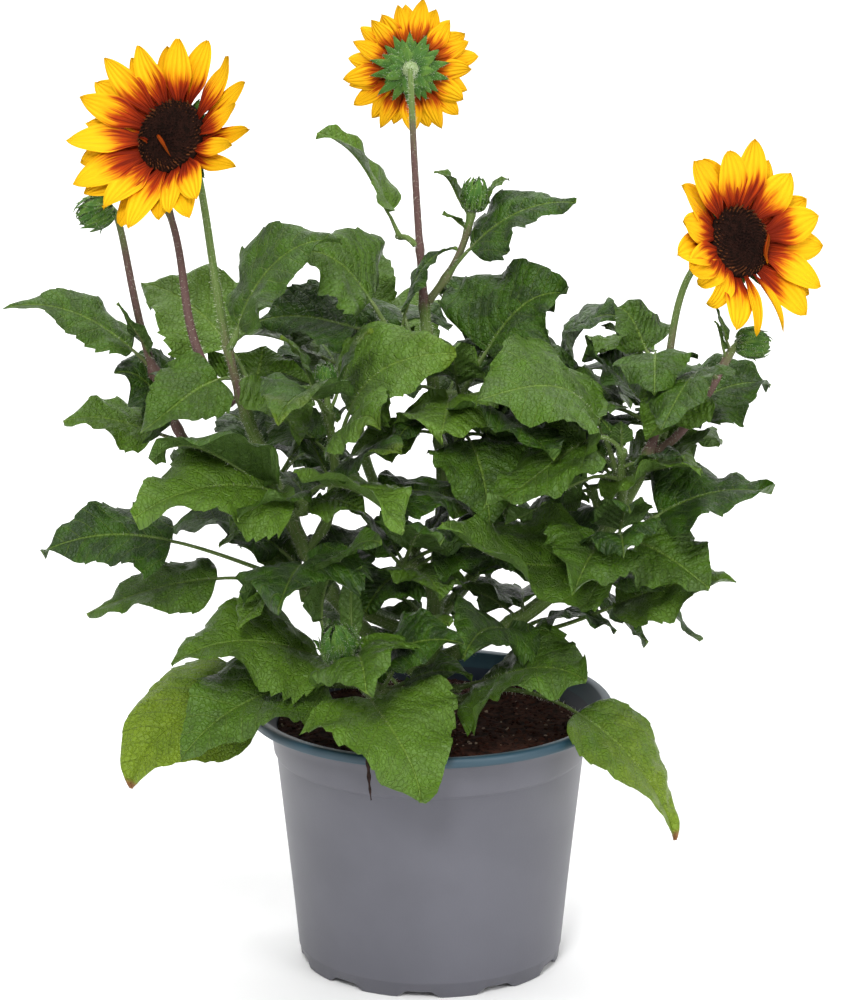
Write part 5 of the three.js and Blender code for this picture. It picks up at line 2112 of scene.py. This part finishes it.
FLOWERS = (
    Bloom(BLOOMS[0], petals=28, width=0.35, flame=0.44, pointed=0.9, slim=(236, 346), gaps=(331,), curls=(
        Curl(95, 13.5, 6, 1.9, -35, leave=72, foot=0.28, sweep=118, flame=4.4),
        Curl(118, 16, 4.4, 1.6, -20, leave=40, foot=0.62, sweep=-14, flame=3),
    )),
    Bloom(BLOOMS[1], petals=21, width=0.37, flame=0.47, pointed=0.7, curls=(
        Curl(118, 36, -2, 13, -100),
        Curl(137, 38, -5, 12, -110),
        Curl(172, 49, 4, 6.5, -20, roll=20),
        Curl(190, 50, 7, 6.5, -15, roll=-20),
        Curl(276, 18, 4.6, 2.2, -20, leave=40, foot=0.9, sweep=-58, flame=2.0),
    )),
    Bloom(BLOOMS[2], petals=26, width=0.33, flame=0.46, pointed=0.95, florets=220),
)


def bract_outline(s: Array) -> Array:
    """Gives the half width along a bract, as shares of the widest."""
    return (0.7 + 0.3 * smoothstep(0, 0.3, s)) * np.maximum(1 - s**1.9, 0) ** 0.8


@dataclass(frozen=True)
class Buds:
    """The closed buds: rows of overlapping bracts round a tight middle.

    Each row says how far out and up its tips lie, as shares of the bud's radius, and how
    steeply its bracts leave and arrive.
    """

    around: int = 9
    rows: tuple[tuple[float, float, float, float], ...] = (
        (1.18, 0.30, 6, 35), (0.86, 0.84, 12, 84), (0.48, 1.12, 20, 118), (0.14, 1.10, 26, 150))
    core: tuple[Pair, ...] = ((0, -1), (0.35, -0.95), (0.72, -0.6), (0.8, 0), (0.62, 0.5), (0.3, 0.74),
                              (0, 0.8))
    core_sides: int = 18
    hairs: Hairs = Hairs(600000.0, 0.0015, 0.00004)

    def _bud(self, head: Head, r: float, rng: Rng) -> Iterable[Surface]:
        """Makes one bud's bracts: the outer row spreads, the inner ones close over the middle.

        Args:
            head: The bud's frame.
            r: Its radius.
            rng: Its random numbers.

        Yields:
            The bracts.
        """
        for row, (out, up, leave, arrive) in enumerate(self.rows):
            for i in range(self.around):
                yield head.blade(
                    360 / self.around * (i + 0.5 * (row % 2) + rng.uniform(-0.15, 0.15)),
                    (r * 0.3, -r * (0.92 - 0.05 * row)),
                    (r * (out + rng.uniform(-0.12, 0.12)), r * (up + rng.uniform(-0.12, 0.12))),
                    leave, arrive + rng.uniform(-14, 14), r * rng.uniform(0.62, 0.78), bract_outline,
                    lambda s, u: -0.14 * r * u**2 * (1 - s), (0.0, rng.uniform(0, 1)), (14, 7), thick=0.5)

    def build(self, plant: Plant) -> None:
        """Makes every bud of the plant.

        Args:
            plant: The grown plan.
        """
        bracts, cores = Sheaf(), Sheaf()
        names = []
        for number, spray in enumerate(SPRAYS):
            if not spray.bud:
                continue
            stem = plant.sprays[spray.name]
            facing = stem.curve.way(1.0)
            head = Head(stem.curve.at(1.0) + facing * spray.bud * 0.6, facing)
            bracts.add(*self._bud(head, spray.bud, np.random.default_rng([SEED, 300, number])))
            cores.add(turned(head, [(spray.bud * r, spray.bud * z) for r, z in self.core],
                             self.core_sides))
            names.append(spray.name)
        leaves = register(bracts.build("bud_bracts", BRACT), names)
        register(cores.build("bud_cores", BRACT), names)
        register(self.hairs.grow(leaves, SEED + 40, "bud_hairs"))


@dataclass(frozen=True)
class Pot:
    """The plastic nursery pot: its plan's sizes in millimetres."""

    height: float = 138.6
    lip_radius: float = 95.0
    lip_width: float = 5.4
    lip_height: float = 4.6
    neck_radius: float = 82.4
    foot_radius: float = 67.8
    wall: float = 2.0
    floor: float = 2.2
    collar_drop: float = 26.0
    collar_step: float = 1.4
    recess: float = 2.6
    foot_ring: float = 8.0
    pad_radius: float = 14.0
    feet: int = 10
    first_foot: float = 0.36
    notch_width: float = 18.0
    notch_height: float = 3.2
    notch_ramp: float = 6.0
    sides: int = 240
    LIP = (20, 26)

    def wall_radius(self, z: float) -> float:
        """Gives the outer radius of the plain wall at a height."""
        return lerp(self.foot_radius, self.neck_radius, z / (self.height - self.lip_height))

    def _profile(self) -> list[Pair]:
        """Gives the pot's section, from the middle of its underside round to the middle of its floor.

        Returns:
            Radii and heights; those that LIP numbers are the lip.
        """
        collar, neck = self.height - self.collar_drop, self.height - self.lip_height
        top, ring = self.recess + self.floor, self.foot_radius - self.foot_ring
        wall, step, lip = self.wall_radius, self.collar_step, self.lip_radius
        shaded_bore = lip - self.lip_width
        return [(0, 0), (self.pad_radius, 0), (self.pad_radius + 1, self.recess), (ring - 1, self.recess),
                (ring, 0.3), (ring + 0.4, 0), (self.foot_radius - 0.8, 0), (self.foot_radius, 0.8),
                (wall(7.6), 7.6), (wall(8) + 0.35, 8.0), (wall(8.6) + 0.35, 8.6), (wall(40), 40),
                (wall(80), 80), (wall(collar), collar), (wall(collar) + 0.3, collar + 0.2),
                (wall(collar) + step, collar + 1.9), (wall(collar + 12) + step, collar + 12),
                (wall(neck) + step, neck - 4), (wall(neck) + step + 1.2, neck - 2.2),
                (lip - 1.2, neck - 0.1), (lip - 0.3, neck), (lip, neck + 0.5), (lip, self.height - 0.9),
                (lip - 0.9, self.height), (shaded_bore + 0.8, self.height), (shaded_bore, self.height - 0.8),
                (shaded_bore - 1, neck), (wall(neck) - self.wall, neck - 5),
                (wall(60) - self.wall, 60), (wall(top) - self.wall, top), (30, top), (0, top)]

    def build(self) -> None:
        """Makes the pot, with a notch between its feet, in place of its solid."""
        profile = self._profile()
        surface = turned(Head(np.zeros(3), UP), profile, self.sides)
        points = surface.points
        step = 2 * math.pi / self.feet
        off = (np.arctan2(points[:, 1], points[:, 0]) / step - self.first_foot + 0.5) % 1 - 0.5
        half, ramp = self.notch_width / 2, self.notch_ramp / 2
        rise = smoothstep(half + ramp, half - ramp, np.abs(off) * step * self.foot_radius)
        ring = np.minimum(np.arange(len(points)) // self.sides + 1, len(profile) - 1)
        first, last = self.LIP
        part = np.zeros((len(ring), 3))
        # The first value marks the bore, which the finish paints dark navy as painted shade.
        part[:, 0] = ring > last
        part[:, 1] = (ring >= first) & (ring <= last)
        part[-2] = 0
        surface.values["part"] = part
        outward = np.hypot(points[:, 0], points[:, 1]) / MM
        low = (points[:, 2] < self.notch_height * MM) & (outward > self.foot_radius - self.foot_ring - 0.5)
        points[low, 2] += self.notch_height * MM * rise[low]
        register(Sheaf(surface).build("plastic_pot", PLASTIC), ["pot"])


POT = Pot()


@dataclass(frozen=True)
class PottingMix:
    """The potting mix: a crumbly top over a plain filling, with loose crumbs."""

    top: float = 126.0
    rings: int = 46
    sides: int = 150
    waves: tuple[float, ...] = (0.09, 0.17, 0.31, 0.55, 0.9)
    wave_height: float = 0.16
    crumb_density: float = 95000.0
    crumb_size: float = 0.0012

    def _surface(self) -> Surface:
        """Makes the filling with its uneven top.

        Returns:
            The closed surface.
        """
        bottom = POT.recess + POT.floor + CLEARANCE
        inset = POT.wall + CLEARANCE
        edge = POT.wall_radius(self.top) - inset
        profile = [(0, bottom), (POT.wall_radius(bottom) - inset, bottom), (edge, self.top - 2.5)]
        profile += [(edge * t, self.top) for t in np.linspace(1, 0.02, self.rings)] + [(0, self.top)]
        surface = turned(Head(np.zeros(3), UP), profile, self.sides)
        x, y = surface.points[:, 0] / MM, surface.points[:, 1] / MM
        lumps = np.zeros(len(x))
        rng = np.random.default_rng(SEED)
        for wave in self.waves:
            way, shift = rng.uniform(0, 6.3, 4), rng.uniform(0, 6.3, 4)
            for w, p in zip(way, shift):
                ripple = np.sin(wave * (x * math.cos(w) + y * math.sin(w)) + p)
                lumps += self.wave_height / wave**0.45 * ripple * 0.5
        upper = surface.points[:, 2] > (self.top - 1) * MM
        surface.points[upper, 2] += lumps[upper] * MM
        return surface

    def _crumbs(self, filling: Object) -> Object:
        """Strews loose crumbs over the top.

        Args:
            filling: The filling.

        Returns:
            The crumbs.
        """
        name = "potting_mix_crumbs"
        grower = Grower(name, {"Density": self.crumb_density, "Crumb Size": self.crumb_size})
        nodes, inputs = grower.nodes, grower.inputs
        place = nodes.value("GeometryNodeInputPosition")
        height = nodes.value("ShaderNodeSeparateXYZ", {0: place}, 2)
        spread = nodes.value("GeometryNodeDistributePointsOnFaces", {
            "Mesh": inputs["Geometry"], "Selection": height.over((self.top - 1.6) * MM),
            "Density": inputs["Density"], "Seed": SEED}, "Points")
        crumb = nodes.value("GeometryNodeMeshIcoSphere", {"Radius": inputs["Crumb Size"],
                                                          "Subdivisions": 1})
        size = nodes.value("ShaderNodeVectorMath", {
            0: grower.random((0.5, 0.35, 0.25), (1.5, 1.1, 0.8), 5), "Scale": grower.random(0.4, 1.3, 6)},
            operation="SCALE")
        turn = nodes.value("FunctionNodeEulerToRotation", {
            0: grower.random((-0.8, -0.8, 0.0), (0.8, 0.8, 6.3), 7)})
        points = grower.tinted(spread, grower.random(0.0, 1.0, 3))
        return grower.grow(name, filling.data, points, crumb, turn, size, CRUMB)

    def build(self) -> None:
        """Makes the filling and its crumbs in place of the solid."""
        filling = Sheaf(self._surface()).build("potting_mix_top", SOIL)
        register(filling, ["potting_mix"])
        register(self._crumbs(filling))


@dataclass(frozen=True)
class Scrap:
    """A withered leaf stalk that hangs over the pot's lip."""

    angle: float = 251.0
    hang: float = 24.0
    radii: tuple[float, float, float] = (0.5, 1.3, 0.3)
    knobs: float = 0.3

    def build(self) -> None:
        """Makes the stalk: one bend over the lip, then one down the wall."""
        out = direction(self.angle)
        start = out * (POT.lip_radius - 9) + UP * (POT.height - 6)
        over = out * (POT.lip_radius + 0.6) + UP * (POT.height - 1)
        end = out * (POT.lip_radius - 3.5) + UP * (POT.height - self.hang)
        bends = (Bend(start, over, unit(out + UP * 1.2), unit(-UP + out * 0.2)),
                 Bend(over, end, -UP, unit(-UP - out * 0.3)))
        sheaf = Sheaf()
        for curve, ends in zip(bends, zip(self.radii, self.radii[1:])):
            sheaf.add(tube_surface(
                curve, lambda s, ends=ends: lerp(*ends, s) * (1 + self.knobs * np.sin(19 * s)), 8,
                np.linspace(0, 1, 24), 0.12, 3, lambda s: 0 * s, 30.0, 0.0))
        register(sheaf.build("withered_stalk", WITHERED))


# Stage


@dataclass(frozen=True)
class Light:
    """A soft lamp that looks at the plant."""

    place: Triple
    size: float
    power: float
    target: Triple = (0.0, 0.0, 0.25)

    def build(self, name: str) -> None:
        """Hangs the lamp.

        Args:
            name: The lamp's name.
        """
        lamp = bpy.data.lights.new(name, "AREA")
        lamp.energy, lamp.size = self.power, self.size
        hung = bpy.data.objects.new(name, lamp)
        hung.location = self.place
        hung.rotation_euler = (Vector(self.target) - Vector(self.place)).to_track_quat("-Z", "Y").to_euler()
        bpy.context.scene.collection.objects.link(hung)


@dataclass(frozen=True)
class Studio:
    """A pale floor, soft lamps and the photo's view."""

    lights: tuple[Light, ...] = (Light((-0.4, -2.2, 2.1), 0.7, 58.0), Light((1.7, -1.8, 1.2), 1.2, 24.0),
                                 Light((0.1, 0.4, 2.2), 1.6, 34.0),
                                 Light((0.0, 1.6, 3.4), 2.4, 150.0, (0.0, 5.0, 1.6)))
    eye: Triple = (0.0005, -2.4, 0.921)
    pitch: float = 15.67
    lens: float = 174.3
    sky: float = 0.7
    half_width: float = 8.0

    def build(self) -> None:
        """Lays the floor, hangs the lamps and sets the camera."""
        rows = [(y, 0.0) for y in np.linspace(-6, 3, 10)]
        rows += [(3 + 2 * math.sin(t), 2 - 2 * math.cos(t)) for t in np.linspace(0.1, math.pi / 2, 12)]
        rows += [(5.0, z) for z in (4.0, 7.0)]
        mesh = bpy.data.meshes.new("floor")
        mesh.from_pydata([(x, y, z) for y, z in rows for x in (-self.half_width, self.half_width)], [],
                         [(2 * i, 2 * i + 1, 2 * i + 3, 2 * i + 2) for i in range(len(rows) - 1)])
        mesh.materials.append(PALE_FLOOR.material())
        floor = bpy.data.objects.new("floor", mesh)
        bpy.context.scene.collection.objects.link(floor)
        world = bpy.data.worlds.new("studio")
        bpy.context.scene.world = world
        world.use_nodes = True
        colour, strength = world.node_tree.nodes["Background"].inputs[:2]
        colour.default_value = (1.0, 1.0, 1.0, 1.0)
        strength.default_value = self.sky
        for number, light in enumerate(self.lights):
            light.build(f"lamp_{number}")
        camera = bpy.data.objects.new("camera", bpy.data.cameras.new("camera"))
        camera.data.lens = self.lens
        camera.location = self.eye
        camera.rotation_euler = (math.radians(90 - self.pitch), 0, 0)
        bpy.context.scene.collection.objects.link(camera)
        bpy.context.scene.camera = camera
        bpy.context.scene.view_settings.view_transform = "Standard"


def main() -> None:
    """Builds the plant's looks in order."""
    logging.basicConfig(level=logging.INFO, format="%(name)s: %(message)s")
    Studio().build()
    POT.build()
    PottingMix().build()
    Scrap().build()
    plant = Plant()
    log.info("%d leaves", sum(len(leaves) for leaves in plant.leaves.values()))
    Stems().build(plant)
    for region in Region:
        Foliage(region).build(plant)
    Buds().build(plant)
    for number, bloom in enumerate(FLOWERS):
        bloom.build(number)
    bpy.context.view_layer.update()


if __name__ == "__main__":
    main()
